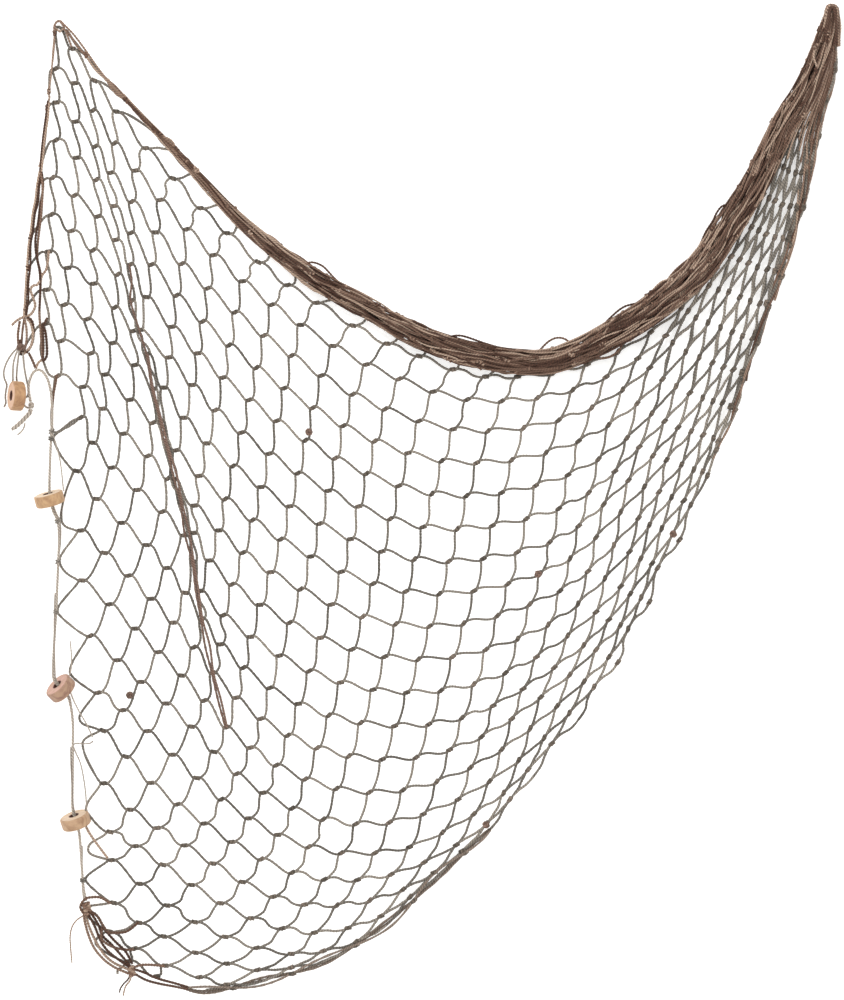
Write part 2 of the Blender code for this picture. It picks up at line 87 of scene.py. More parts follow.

# Knots given row by row: (column, x, z)
GUIDE_ROWS = {
    -5: [(-14, -1.064, -0.088), (-12, -0.996, -0.162), (-10, -0.92, -0.243), (-8, -0.838, -0.325),
         (-6, -0.752, -0.39), (-4, -0.655, -0.445), (-2, -0.56, -0.488), (0, -0.47, -0.508),
         (2, -0.38, -0.5), (4, -0.295, -0.465)],
    -4: [(-15, -1.13, -0.02), (-14, -1.107, -0.052), (-13, -1.075, -0.099), (-12, -1.043, -0.144),
         (-10, -0.96, -0.242), (-8, -0.881, -0.322), (-5, -0.75, -0.424), (-2, -0.6, -0.502),
         (1, -0.456, -0.532), (3, -0.354, -0.514), (6, -0.216, -0.431), (9, -0.123, -0.308),
         (12, -0.054, -0.178), (14, -0.02, -0.085), (16, -0.004, -0.012)],
    -3: [(-15, -1.132, -0.082), (-14, -1.102, -0.105), (-13, -1.076, -0.144), (-12, -1.045, -0.191),
         (8, -0.176, -0.399), (11, -0.088, -0.271)],
    -2: [(-15, -1.131, -0.131), (-14, -1.102, -0.16), (-13, -1.072, -0.197), (-12, -1.05, -0.235),
         (-9, -0.947, -0.367), (-6, -0.827, -0.472), (-3, -0.697, -0.558), (0, -0.55, -0.609),
         (3, -0.396, -0.596), (5, -0.302, -0.551), (7, -0.229, -0.4825), (9, -0.162, -0.405),
         (11, -0.103, -0.318), (14, -0.042, -0.184), (16, -0.002, -0.087), (18, 0.002, -0.008)],
    -1: [(-15, -1.131, -0.186), (-14, -1.101, -0.212), (-13, -1.071, -0.245), (-12, -1.045, -0.284),
         (5, -0.323, -0.603), (7, -0.244, -0.536), (10, -0.147, -0.408), (13, -0.069, -0.281),
         (17, 0.006, -0.086)],
    0: [(-15, -1.136, -0.241), (-14, -1.104, -0.267), (-13, -1.07, -0.298), (-12, -1.043, -0.333),
        (-11, -1.021, -0.369), (6, -0.296, -0.622), (8, -0.224, -0.546), (10, -0.159, -0.46),
        (12, -0.105, -0.372), (14, -0.057, -0.283), (16, -0.027, -0.182), (19, 0.0105, -0.044)],
    1: [(-15, -1.138, -0.295), (-14, -1.109, -0.319), (-13, -1.077, -0.347), (-12, -1.04, -0.383),
        (-11, -1.019, -0.422), (-10, -1.007, -0.465), (-9, -0.966, -0.504), (-6, -0.86, -0.614),
        (-3, -0.733, -0.699), (0, -0.594, -0.752), (3, -0.443, -0.74), (5, -0.352, -0.702),
        (7, -0.278, -0.635), (9, -0.204, -0.556), (11, -0.142, -0.467), (13, -0.0905, -0.375),
        (15, -0.047, -0.282), (17, -0.018, -0.18)],
    2: [(-15, -1.142, -0.349), (-14, -1.114, -0.373), (-13, -1.076, -0.396), (-12, -1.045, -0.431),
        (-10, -0.996, -0.5), (4, -0.409, -0.7745), (6, -0.33, -0.719), (8, -0.258, -0.648),
        (10, -0.185, -0.563), (12, -0.127, -0.473), (14, -0.08, -0.378), (16, -0.0385, -0.283)],
    3: [(-15, -1.145, -0.405), (-14, -1.119, -0.427), (-13, -1.086, -0.448), (-12, -1.048, -0.483),
        (-10, -0.987, -0.551), (-9, -0.976, -0.598), (5, -0.379, -0.798), (7, -0.305, -0.73),
        (9, -0.238, -0.654), (11, -0.17, -0.568), (13, -0.112, -0.476), (15, -0.073, -0.3815),
        (16, -0.059, -0.329)],
    4: [(-15, -1.147, -0.455), (-14, -1.124, -0.48), (-13, -1.08, -0.498), (-12, -1.06, -0.529),
        (-11, -1.023, -0.566), (-9, -0.966, -0.637), (-8, -0.957, -0.682), (-6, -0.893, -0.757),
        (-3, -0.773, -0.843), (0, -0.634, -0.894), (4, -0.438, -0.865), (6, -0.353, -0.817),
        (8, -0.279, -0.739), (10, -0.216, -0.661), (12, -0.156, -0.57), (14, -0.106, -0.48),
        (15, -0.09, -0.434)],
    5: [(-15, -1.149, -0.511), (-14, -1.129, -0.531), (-13, -1.092, -0.547), (-12, -1.063, -0.579),
        (-8, -0.946, -0.718), (5, -0.411, -0.895), (7, -0.328, -0.827), (9, -0.263, -0.749),
        (11, -0.198, -0.668), (13, -0.143, -0.576), (14, -0.124, -0.5275)],
    6: [(-14, -1.135, -0.613), (-13, -1.095, -0.592), (-12, -1.078, -0.629), (-8, -0.943, -0.764),
        (-7, -0.929, -0.803), (-6, -0.919, -0.845), (6, -0.3825, -0.911), (8, -0.305, -0.839),
        (10, -0.245, -0.754), (12, -0.185, -0.671), (13, -0.162, -0.626)],
    7: [(-13, -1.135, -0.622), (-12, -1.101, -0.67), (-11, -1.072, -0.711), (-10, -1.035, -0.746),
        (-8, -0.969, -0.812), (-6, -0.916, -0.886), (-5, -0.89, -0.923), (-3, -0.818, -0.987),
        (0, -0.685, -1.038), (3, -0.537, -1.031), (5, -0.448, -0.989), (7, -0.359, -0.925),
        (9, -0.291, -0.85), (11, -0.229, -0.762), (12, -0.2025, -0.72)],
    8: [(-12, -1.123, -0.743), (-11, -1.095, -0.757), (-10, -1.06, -0.79), (-5, -0.9, -0.964),
        (6, -0.422, -1.001), (8, -0.341, -0.9315), (10, -0.275, -0.855), (11, -0.251, -0.812)],
    9: [(-11, -1.126, -0.802), (-4, -0.88, -1.043), (5, -0.479, -1.0775), (7, -0.398, -1.014),
        (9, -0.322, -0.942), (10, -0.294, -0.901)],
    10: [(-10, -1.129, -0.876), (-9, -1.08, -0.911), (-7, -1.006, -0.978), (-5, -0.932, -1.043),
         (-3, -0.866, -1.112), (0, -0.74, -1.179), (3, -0.594, -1.172), (4, -0.543, -1.1505),
         (6, -0.454, -1.093), (8, -0.38, -1.024), (9, -0.344, -0.986)],
    11: [(-9, -1.11, -0.964), (3, -0.614, -1.22), (5, -0.52, -1.172), (7, -0.4405, -1.107),
         (8, -0.406, -1.069)],
    12: [(-8, -1.096, -1.031), (6, -0.501, -1.186), (7, -0.467, -1.1505)],
    13: [(-7, -1.091, -1.067), (-6, -1.06, -1.126), (-4, -0.982, -1.191), (-2, -0.901, -1.243),
         (0, -0.813, -1.292), (2, -0.72, -1.305), (3, -0.672, -1.298), (5, -0.578, -1.2575),
         (6, -0.537, -1.226)],
    14: [(-6, -1.086, -1.165), (2, -0.753, -1.345), (4, -0.656, -1.321), (5, -0.613, -1.293)],
    15: [(-5, -1.083, -1.223), (-4, -1.049, -1.238), (1, -0.837, -1.367), (2, -0.787, -1.376),
         (4, -0.692, -1.3585)],
    16: [(-4, -1.087, -1.266), (-3, -1.046, -1.301), (-2, -1.009, -1.33), (-1, -0.973, -1.35),
         (0, -0.927, -1.374), (1, -0.881, -1.39), (3, -0.787, -1.396)],
    17: [(-3, -1.091, -1.31), (-2, -1.052, -1.343), (-1, -1.016, -1.368), (0, -0.971, -1.393),
         (2, -0.881, -1.421)],
    18: [(-1, -1.025, -1.387), (1, -0.937, -1.424)],
}
CREASE = [(-14, -3), (-13, -2), (-12, -1), (-11, 0), (-11, 1), (-10, 2), (-9, 3), (-9, 4),
          (-8, 5), (-7, 6), (-6, 7), (-5, 8), (-4, 9)]

# Lower and right-hand edge of the net: (level, x, z)
EDGE = [(-18, -0.978, -1.419), (-16, -0.912, -1.429), (-14, -0.829, -1.416), (-12, -0.740, -1.387),
        (-10, -0.647, -1.333), (-8, -0.572, -1.261), (-6, -0.496, -1.194), (-4, -0.432, -1.116),
        (-2, -0.367, -1.034), (0, -0.309, -0.950), (2, -0.263, -0.862), (4, -0.219, -0.771),
        (6, -0.178, -0.677), (8, -0.138, -0.582), (10, -0.105, -0.484), (12, -0.069, -0.386),
        (14, -0.037, -0.284), (16, -0.015, -0.181), (18, 0.009, -0.083), (20, 0.007, 0.003)]

# Middle of the gathered top edge, from the left-hand hook to the right-hand one: (x, z, radius)
BUNDLE = [(-1.126, -0.016, 0.0020), (-1.064, -0.088, 0.0030), (-0.994, -0.164, 0.0040),
          (-0.921, -0.242, 0.0065), (-0.850, -0.315, 0.0100), (-0.759, -0.385, 0.0140),
          (-0.683, -0.428, 0.0165), (-0.600, -0.474, 0.0185), (-0.517, -0.501, 0.0190),
          (-0.426, -0.512, 0.0195), (-0.368, -0.496, 0.0205), (-0.310, -0.466, 0.0220),
          (-0.256, -0.431, 0.0230), (-0.194, -0.378, 0.0230), (-0.148, -0.311, 0.0225),
          (-0.107, -0.245, 0.0205), (-0.070, -0.169, 0.0200), (-0.041, -0.121, 0.0190),
          (-0.020, -0.076, 0.0170), (-0.006, -0.034, 0.0140), (0.001, -0.008, 0.0105),
          (0.003, 0.004, 0.0080)]

# Gathered left-hand corner, from the left-hand hook down: (x, z, radius)
LEFT_BUNCH = [(-1.126, -0.016, 0.0020), (-1.132, -0.040, 0.0022), (-1.136, -0.080, 0.0025),
              (-1.142, -0.132, 0.0025), (-1.148, -0.186, 0.0028), (-1.153, -0.234, 0.0040),
              (-1.161, -0.290, 0.0060), (-1.168, -0.342, 0.0070), (-1.172, -0.394, 0.0070),
              (-1.174, -0.444, 0.0060), (-1.178, -0.478, 0.0040), (-1.180, -0.497, 0.0030)]

FLOAT_LINE = [(-1.1665, -0.004, -0.569), (-1.1685, -0.006, -0.558), (-1.1690, -0.008, -0.547),
              (-1.1665, -0.009, -0.536), (-1.1620, -0.010, -0.527), (-1.1560, -0.010, -0.523),
              (-1.1495, -0.010, -0.5245), (-1.1435, -0.009, -0.532), (-1.1390, -0.008, -0.543),
              (-1.1360, -0.007, -0.560), (-1.1350, -0.006, -0.586), (-1.1360, -0.005, -0.613),
              (-1.1375, -0.005, -0.640), (-1.1385, -0.005, -0.669), (-1.1390, -0.005, -0.692),
              (-1.1380, -0.005, -0.711), (-1.1330, -0.005, -0.729), (-1.1265, -0.005, -0.745),
              (-1.1250, -0.005, -0.771), (-1.1260, -0.005, -0.800), (-1.1275, -0.005, -0.836),
              (-1.1290, -0.005, -0.873), (-1.1310, -0.006, -0.905), (-1.1325, -0.007, -0.935),
              (-1.1330, -0.010, -0.960), (-1.1315, -0.011, -0.974), (-1.1225, -0.005, -0.987),
              (-1.1130, 0.001, -0.999), (-1.1085, 0.001, -1.014), (-1.1055, -0.001, -1.037),
              (-1.1050, -0.004, -1.070), (-1.1050, -0.005, -1.107), (-1.1055, -0.005, -1.143),
              (-1.1050, -0.006, -1.163), (-1.1010, -0.005, -1.180), (-1.0960, -0.004, -1.197),
              (-1.0935, -0.005, -1.221), (-1.0915, -0.006, -1.250), (-1.0890, -0.007, -1.278),
              (-1.0855, -0.007, -1.2965)]

FLOATS = {
    "float_1": ((-1.186, -0.010, -0.561), (-0.91, -0.41, 0.05)),
    "float_2": ((-1.1390, -0.005, -0.711), (-0.24, -0.20, 0.95)),
    "float_3": ((-1.1225, -0.005, -0.987), (-0.60, -0.42, 0.68)),
    "float_4": ((-1.101, -0.005, -1.180), (-0.27, -0.24, 0.93)),
}
# Wood of each float: (rim, dark grain, faces). The faces get a lighter wood than the rim: partly each float's
# own wood, partly painted light for the light that falls on a face.
FLOAT_WOOD = {
    "float_1": ((0.46, 0.265, 0.130), (0.26, 0.125, 0.060), (0.56, 0.34, 0.235)),
    "float_2": ((0.48, 0.300, 0.155), (0.28, 0.140, 0.066), (0.66, 0.53, 0.39)),
    "float_3": ((0.38, 0.235, 0.150), (0.20, 0.095, 0.065), (0.52, 0.29, 0.235)),
    "float_4": ((0.46, 0.295, 0.175), (0.29, 0.160, 0.085), (0.60, 0.46, 0.33)),
}
FLOAT_DIAMETER = 0.043
FLOAT_THICKNESS = 0.017
FLOAT_BORE = 0.0135
RIM_ROUNDING = 0.0025
BORE_ROUNDING = 0.001
HANGERS = {
    "float_hanger_left": [(-1.1800, -0.010, -0.4900), (-1.1885, -0.010, -0.4945), (-1.1985, -0.010, -0.508),
                          (-1.2045, -0.009, -0.523),
                          (-1.2050, -0.005, -0.534), (-1.2025, 0.003, -0.544), (-1.2045, 0.008, -0.553),
                          (-1.2055, 0.009, -0.562), (-1.2045, 0.007, -0.570), (-1.2065, 0.004, -0.577)],
    "float_hanger_loop": [(-1.1800, -0.010, -0.4900), (-1.1825, -0.010, -0.4975), (-1.1850, -0.009, -0.515),
                          (-1.1870, -0.004, -0.530),
                          (-1.1880, 0.004, -0.5365), (-1.1870, 0.012, -0.546), (-1.1830, 0.0165, -0.556),
                          (-1.1760, 0.0135, -0.562), (-1.1715, 0.006, -0.558), (-1.1705, -0.001, -0.548),
                          (-1.1725, -0.006, -0.536), (-1.1750, -0.009, -0.520), (-1.1770, -0.010, -0.4975)],
    "float_hanger_cross": [(-1.1800, -0.010, -0.4900), (-1.1860, -0.010, -0.4975), (-1.1905, -0.010, -0.512),
                           (-1.1920, -0.007, -0.526),
                           (-1.1930, 0.000, -0.5365), (-1.1945, 0.009, -0.544), (-1.1925, 0.0170, -0.556),
                           (-1.1845, 0.0190, -0.568), (-1.1760, 0.0120, -0.576), (-1.1705, 0.0035, -0.578)],
}
HANGER_TWINE = 0.0014

# Free ends: (radius, route)
FREE_ENDS = {
    "line_tail": (0.0030, [(-1.1660, -0.006, -0.5805), (-1.1680, -0.008, -0.5865),
                           (-1.1730, -0.008, -0.592), (-1.1800, -0.007, -0.599), (-1.1870, -0.006, -0.605),
                           (-1.1940, -0.006, -0.610)]),
    "line_tail_thin": (0.0012, [(-1.1750, -0.004, -0.6005), (-1.1760, -0.004, -0.606),
                                (-1.1795, -0.004, -0.612), (-1.1860, -0.004, -0.618)]),
    "corner_tail": (0.0011, [(-1.0905, -0.006, -1.3190), (-1.0990, -0.006, -1.325),
                             (-1.1060, -0.005, -1.335), (-1.1090, -0.004, -1.350),
                             (-1.1080, -0.003, -1.370), (-1.1065, -0.002, -1.389)]),
    "edge_tie_end_left": (0.0012, [(-1.0205, -0.009, -1.4040), (-1.0245, -0.008, -1.4115),
                                   (-1.0300, -0.007, -1.417), (-1.0350, -0.006, -1.424),
                                   (-1.0370, -0.005, -1.431)]),
    "edge_tie_end_right": (0.0012, [(-1.0190, -0.010, -1.4050), (-1.0215, -0.010, -1.4130),
                                    (-1.0270, -0.011, -1.420), (-1.0295, -0.011, -1.428),
                                    (-1.0310, -0.010, -1.435)]),
}

# Knots tied by hand: (middle, half sizes, turns, twine)
TIED_KNOTS = {
    "hanger_knot": ((-1.1800, -0.010, -0.490), (0.0065, 0.0050, 0.0055), 3.5, "stained"),
    "line_knot": ((-1.1655, -0.004, -0.5745), (0.0045, 0.0045, 0.0048), 3.0, "line"),
    "corner_knot": ((-1.0840, -0.006, -1.3080), (0.0085, 0.0080, 0.0110), 4.5, "bundle"),
    "edge_tie": ((-1.0190, -0.0080, -1.3990), (0.0075, 0.0045, 0.0095), 4.5, "bundle"),
}

# Small dark lumps where the twine was joined: middles
SPLICES = [(-0.2292, -0.003, -0.7621), (-0.7607, -0.003, -0.6132),
           (-0.4263, -0.003, -0.8205), (-1.0220, -0.004, -0.9972), (-0.5022, -0.003, -1.1863)]

# Single strands, given one by one
LEFT_BUNCH_STRANDS = [
    [(-1.1522, -0.003, -0.2336), (-1.1490, -0.004, -0.2555), (-1.1505, -0.003, -0.2847),
     (-1.1519, -0.003, -0.3022), (-1.1563, 0.000, -0.3329), (-1.1578, 0.003, -0.3592),
     (-1.1534, 0.003, -0.3796), (-1.1525, 0.000, -0.3942), (-1.1534, -0.001, -0.4205),
     (-1.1538, -0.003, -0.4424), (-1.1519, -0.001, -0.4716), (-1.1495, -0.002, -0.5081)],
    [(-1.1483, -0.004, -0.4570), (-1.1446, -0.003, -0.4701), (-1.1429, -0.002, -0.4964),
     (-1.1446, -0.002, -0.5052), (-1.1490, -0.004, -0.5110)],
    [(-1.1424, -0.003, -0.4468), (-1.1461, -0.004, -0.4541), (-1.1490, -0.002, -0.4599),
     (-1.1481, -0.003, -0.4862), (-1.1490, -0.003, -0.5095)],
    [(-1.1724, -0.003, -0.4453), (-1.1651, -0.002, -0.4511), (-1.1627, 0.000, -0.4643),
     (-1.1642, 0.001, -0.4803), (-1.1680, -0.001, -0.4906), (-1.1731, -0.004, -0.4979)],
    [(-1.1731, -0.001, -0.4468), (-1.1665, 0.000, -0.4555), (-1.1633, -0.003, -0.4716),
     (-1.1658, -0.003, -0.4862), (-1.1709, -0.003, -0.4935), (-1.1768, -0.002, -0.4993)],
    [(-1.1826, -0.002, -0.4511), (-1.1851, -0.003, -0.4701), (-1.1841, -0.004, -0.4862),
     (-1.1789, -0.004, -0.4979)],
    [(-1.1826, -0.004, -0.4789), (-1.1797, -0.005, -0.4862), (-1.1768, -0.004, -0.4920)],
    [(-1.1531, -0.003, -0.3927), (-1.1570, -0.004, -0.3985), (-1.1629, -0.003, -0.4000),
     (-1.1671, -0.001, -0.4059), (-1.1629, 0.001, -0.4190), (-1.1607, 0.001, -0.4292),
     (-1.1651, 0.000, -0.4395), (-1.1724, -0.003, -0.4453)],
    [(-1.1408, 0.002, -0.3482), (-1.1442, 0.003, -0.3738), (-1.1512, 0.002, -0.3854),
     (-1.1531, -0.002, -0.3971)],
    [(-1.1725, -0.004, -0.4438), (-1.1826, -0.004, -0.4482), (-1.1892, -0.003, -0.4526),
     (-1.1943, -0.002, -0.4577)],
    [(-1.1695, -0.003, -0.4979), (-1.1636, -0.004, -0.5095), (-1.1592, -0.004, -0.5205)],
    [(-1.1592, -0.004, -0.5205), (-1.1556, -0.003, -0.5125), (-1.1505, -0.003, -0.5081)],
]
THICK_STRAND_DEPTH = -0.003
THICK_STRANDS = [
    [(-1.1413, -0.1299), (-1.1441, -0.1504), (-1.1467, -0.1694), (-1.1487, -0.1854), (-1.1511, -0.2088),
     (-1.1531, -0.2351)],
    [(-1.1397, -0.1314), (-1.1417, -0.1548), (-1.1443, -0.1723), (-1.1467, -0.1869), (-1.1484, -0.2088),
     (-1.1511, -0.2336)],
    [(-1.1534, -0.2321), (-1.1573, -0.2526), (-1.1598, -0.2745), (-1.1636, -0.2935), (-1.1662, -0.3183),
     (-1.1698, -0.3416), (-1.1718, -0.3694), (-1.1734, -0.3942), (-1.1750, -0.4205), (-1.1765, -0.4453)],
    [(-1.1516, -0.2336), (-1.1543, -0.2570), (-1.1560, -0.2789), (-1.1604, -0.2949), (-1.1633, -0.3197),
     (-1.1668, -0.3416), (-1.1671, -0.3694), (-1.1700, -0.3957), (-1.1703, -0.4205), (-1.1733, -0.4438)],
    [(-1.1505, -0.2336), (-1.1484, -0.2555), (-1.1528, -0.2818), (-1.1557, -0.3066), (-1.1598, -0.3329),
     (-1.1584, -0.3562), (-1.1537, -0.3796), (-1.1528, -0.4059), (-1.1540, -0.4424)],
    [(-1.1765, -0.4438), (-1.1730, -0.4614), (-1.1727, -0.4789), (-1.1765, -0.4993)],
]
CORNER_STRANDS = [
    [(-1.0862, -0.004, -1.3184), (-1.0804, -0.003, -1.3374), (-1.0702, -0.002, -1.3593),
     (-1.0585, -0.002, -1.3768), (-1.0439, -0.003, -1.3885), (-1.0249, -0.008, -1.3958)],
    [(-1.0833, -0.008, -1.3140), (-1.0731, -0.007, -1.3330), (-1.0643, -0.006, -1.3549),
     (-1.0541, -0.006, -1.3695), (-1.0395, -0.007, -1.3812), (-1.0220, -0.010, -1.3928)],
    [(-1.0825, -0.009, -1.3105), (-1.0760, -0.010, -1.3169), (-1.0673, -0.008, -1.3315),
     (-1.0614, -0.006, -1.3476), (-1.0483, -0.005, -1.3607), (-1.0337, -0.006, -1.3768),
     (-1.0205, -0.010, -1.3914)],
    [(-1.0825, -0.009, -1.3105), (-1.0702, -0.009, -1.3169), (-1.0600, -0.008, -1.3344),
     (-1.0541, -0.008, -1.3432), (-1.0424, -0.007, -1.3563), (-1.0278, -0.006, -1.3709),
     (-1.0176, -0.009, -1.3885)],
    [(-1.0614, -0.006, -1.3330), (-1.0629, -0.008, -1.3505), (-1.0541, -0.009, -1.3593),
     (-1.0424, -0.007, -1.3651), (-1.0293, -0.005, -1.3680), (-1.0162, -0.003, -1.3687)],
    [(-1.0892, -0.003, -1.3038), (-1.0877, -0.002, -1.3286), (-1.0775, 0.000, -1.3607),
     (-1.0629, 0.001, -1.3812), (-1.0454, 0.000, -1.3943), (-1.0235, -0.005, -1.4031)],
    [(-1.0497, -0.004, -1.3009), (-1.0643, -0.006, -1.2921), (-1.0775, -0.008, -1.2914),
     (-1.0862, -0.009, -1.2936), (-1.0928, -0.008, -1.3023), (-1.0928, -0.006, -1.3096),
     (-1.0870, -0.006, -1.3176)],
    [(-1.0825, -0.009, -1.3105), (-1.0687, -0.010, -1.3184), (-1.0614, -0.010, -1.3301),
     (-1.0534, -0.009, -1.3417), (-1.0454, -0.007, -1.3432), (-1.0264, -0.005, -1.3417),
     (-1.0089, -0.003, -1.3286)],
    [(-1.1286, -0.003, -0.5300), (-1.1306, -0.005, -0.5446), (-1.1330, -0.005, -0.5577),
     (-1.1350, -0.005, -0.5811), (-1.1356, -0.003, -0.6117)],
    [(-1.0877, -0.003, -1.1855), (-1.0804, -0.005, -1.1987), (-1.0702, -0.005, -1.2133),
     (-1.0541, -0.003, -1.2352)],
    [(-1.0176, -0.009, -1.3943), (-1.0059, -0.006, -1.3906), (-0.9899, -0.004, -1.3906),
     (-0.9709, -0.002, -1.3928)],
    [(-1.0162, -0.008, -1.3958), (-1.0001, -0.006, -1.4016), (-0.9811, -0.004, -1.4104),
     (-0.9563, -0.002, -1.4177), (-0.9373, -0.001, -1.4235)],
    [(-1.0162, -0.008, -1.4016), (-0.9986, -0.007, -1.4118), (-0.9782, -0.006, -1.4177),
     (-0.9563, -0.005, -1.4220), (-0.9373, -0.003, -1.4264)],
]
THIN_LINES = [
    [(-1.1038, -0.004, -1.0687), (-1.0979, -0.005, -1.0673), (-1.0892, -0.005, -1.0680),
     (-1.0804, -0.005, -1.0673), (-1.0753, -0.004, -1.0643)],
    [(-1.1038, -0.004, -1.0731), (-1.1001, -0.005, -1.0819), (-1.0943, -0.005, -1.0950),
     (-1.0899, -0.005, -1.1140), (-1.0862, -0.005, -1.1403), (-1.0848, -0.004, -1.1665)],
    [(-1.1344, -0.004, -0.6147), (-1.1300, -0.005, -0.6307), (-1.1242, -0.005, -0.6512),
     (-1.1213, -0.005, -0.6716), (-1.1192, -0.005, -0.6920), (-1.1181, -0.006, -0.6993)],
    [(-1.1096, -0.004, -0.9899), (-1.1038, -0.005, -1.0045), (-1.0950, -0.005, -1.0220),
     (-1.0848, -0.005, -1.0395), (-1.0760, -0.004, -1.0585)],
    [(-1.1089, -0.004, -0.9183), (-1.1070, -0.005, -0.9388), (-1.1073, -0.005, -0.9578),
     (-1.1111, -0.004, -0.9724)],
]
STRAY_LOOPS = [
    [(-1.1315, -0.003, -0.0277), (-1.1318, -0.003, -0.0219), (-1.1297, -0.003, -0.0164),
     (-1.1257, -0.003, -0.0143), (-1.1220, -0.003, -0.0166), (-1.1160, -0.003, -0.0277),
     (-1.1068, -0.003, -0.0518)],
    [(-1.1318, -0.003, -0.0292), (-1.1324, -0.003, -0.0212), (-1.1286, -0.003, -0.0146),
     (-1.1233, -0.003, -0.0137), (-1.1178, -0.003, -0.0190), (-1.1032, -0.003, -0.0342),
     (-1.0862, -0.003, -0.0569), (-1.0687, -0.003, -0.0818), (-1.0512, -0.003, -0.1037),
     (-1.0308, -0.003, -0.1256)],
    [(-0.3606, 0.000, -0.4891), (-0.3475, -0.006, -0.4760), (-0.3358, -0.006, -0.4628),
     (-0.3197, -0.006, -0.4453), (-0.3008, -0.006, -0.4307), (-0.2774, -0.006, -0.4249),
     (-0.2599, -0.006, -0.4219), (-0.2453, 0.000, -0.4292)],
    [(-0.2570, 0.000, -0.4234), (-0.2453, -0.006, -0.4030), (-0.2321, -0.006, -0.3840),
     (-0.2190, -0.006, -0.3708), (-0.2015, -0.006, -0.3592), (-0.1869, 0.000, -0.3665)],
    [(-0.1913, 0.000, -0.3446), (-0.1825, -0.006, -0.3227), (-0.1723, -0.006, -0.3066),
     (-0.1650, -0.006, -0.2920), (-0.1562, -0.006, -0.2832), (-0.1402, -0.006, -0.2818),
     (-0.1256, 0.000, -0.2920)],
    [(-0.5752, 0.000, -0.4964), (-0.5694, -0.006, -0.4847), (-0.5592, -0.006, -0.4760),
     (-0.5387, -0.006, -0.4730), (-0.5066, -0.006, -0.4833), (-0.4745, -0.006, -0.4935),
     (-0.4482, 0.000, -0.5052)],
    [(-0.4380, 0.000, -0.5081), (-0.4249, -0.006, -0.4949), (-0.4117, -0.006, -0.4818),
     (-0.3986, -0.006, -0.4760), (-0.3854, -0.006, -0.4789), (-0.3738, 0.000, -0.4906)],
    [(-0.3738, 0.000, -0.4935), (-0.3504, -0.006, -0.5037), (-0.3270, -0.006, -0.5052),
     (-0.3110, -0.006, -0.4964), (-0.3008, 0.000, -0.4818)],
    [(-0.2774, 0.000, -0.4380), (-0.2628, -0.006, -0.4117), (-0.2482, -0.006, -0.3957),
     (-0.2365, -0.006, -0.3927), (-0.2248, 0.000, -0.4000)],
    [(-0.1285, 0.000, -0.2745), (-0.1139, -0.006, -0.2453), (-0.1022, -0.006, -0.2248),
     (-0.0934, -0.006, -0.2161), (-0.0818, 0.000, -0.2248)],
    [(-0.7738, 0.000, -0.3796), (-0.7607, -0.006, -0.3665), (-0.7417, -0.006, -0.3708),
     (-0.7242, -0.006, -0.3884), (-0.7081, 0.000, -0.4030)],
]


# ---------------------------------------------------------------- the hung lattice
def thin_plate(distance):
    return np.where(distance > 1e-9, distance ** 2 * np.log(np.maximum(distance, 1e-9)), 0.0)


class Lattice:
    """Smooth map from (column, row) to a place in the hung net, as in the CAD model."""

    def __init__(self, rows):
        knots = [(a, b, x, z) for b, row in rows.items() for a, x, z in row]
        table = np.array(knots, dtype=float)
        self.sites = table[:, :2]
        count = len(table)
        gaps = np.linalg.norm(self.sites[:, None] - self.sites[None], axis=2)
        system = np.zeros((count + 3, count + 3))
        system[:count, :count] = thin_plate(gaps) + SMOOTHING * np.eye(count)
        system[:count, count] = 1.0
        system[:count, count + 1:] = self.sites
        system[count:, :count] = system[:count, count:].T
        goal = np.zeros((count + 3, 2))
        goal[:count] = table[:, 2:]
        self.weights = np.linalg.solve(system, goal)
        self.crease = np.array([self.flat(a, b) for a, b in CREASE])

    def flat(self, a, b):
        """x and z of lattice points; a and b may be arrays."""
        a, b = np.broadcast_arrays(np.asarray(a, float), np.asarray(b, float))
        gap = np.hypot(a[..., None] - self.sites[:, 0], b[..., None] - self.sites[:, 1])
        row = np.concatenate([thin_plate(gap), np.ones(a.shape + (1,)), a[..., None], b[..., None]],
                             axis=-1)
        return row @ self.weights

    def depth(self, flat):
        """y of the sheet: near the wall, forward at the lower left and along the crease."""
        away = np.hypot(flat[..., 0] - BILLOW_CENTRE[0], flat[..., 1] - BILLOW_CENTRE[1])
        billow = BILLOW * np.exp(-(away / BILLOW_REACH) ** 2)
        nearest = np.full(flat.shape[:-1], 9.0)
        for start, end in zip(self.crease, self.crease[1:]):
            along = end - start
            share = np.clip((flat - start) @ along / (along @ along), 0.0, 1.0)
            foot = start + share[..., None] * along
            nearest = np.minimum(nearest, np.linalg.norm(flat - foot, axis=-1))
        fold = CREASE_HEIGHT * np.exp(-(nearest / CREASE_WIDTH) ** 2)
        return SHEET_DEPTH - billow - fold


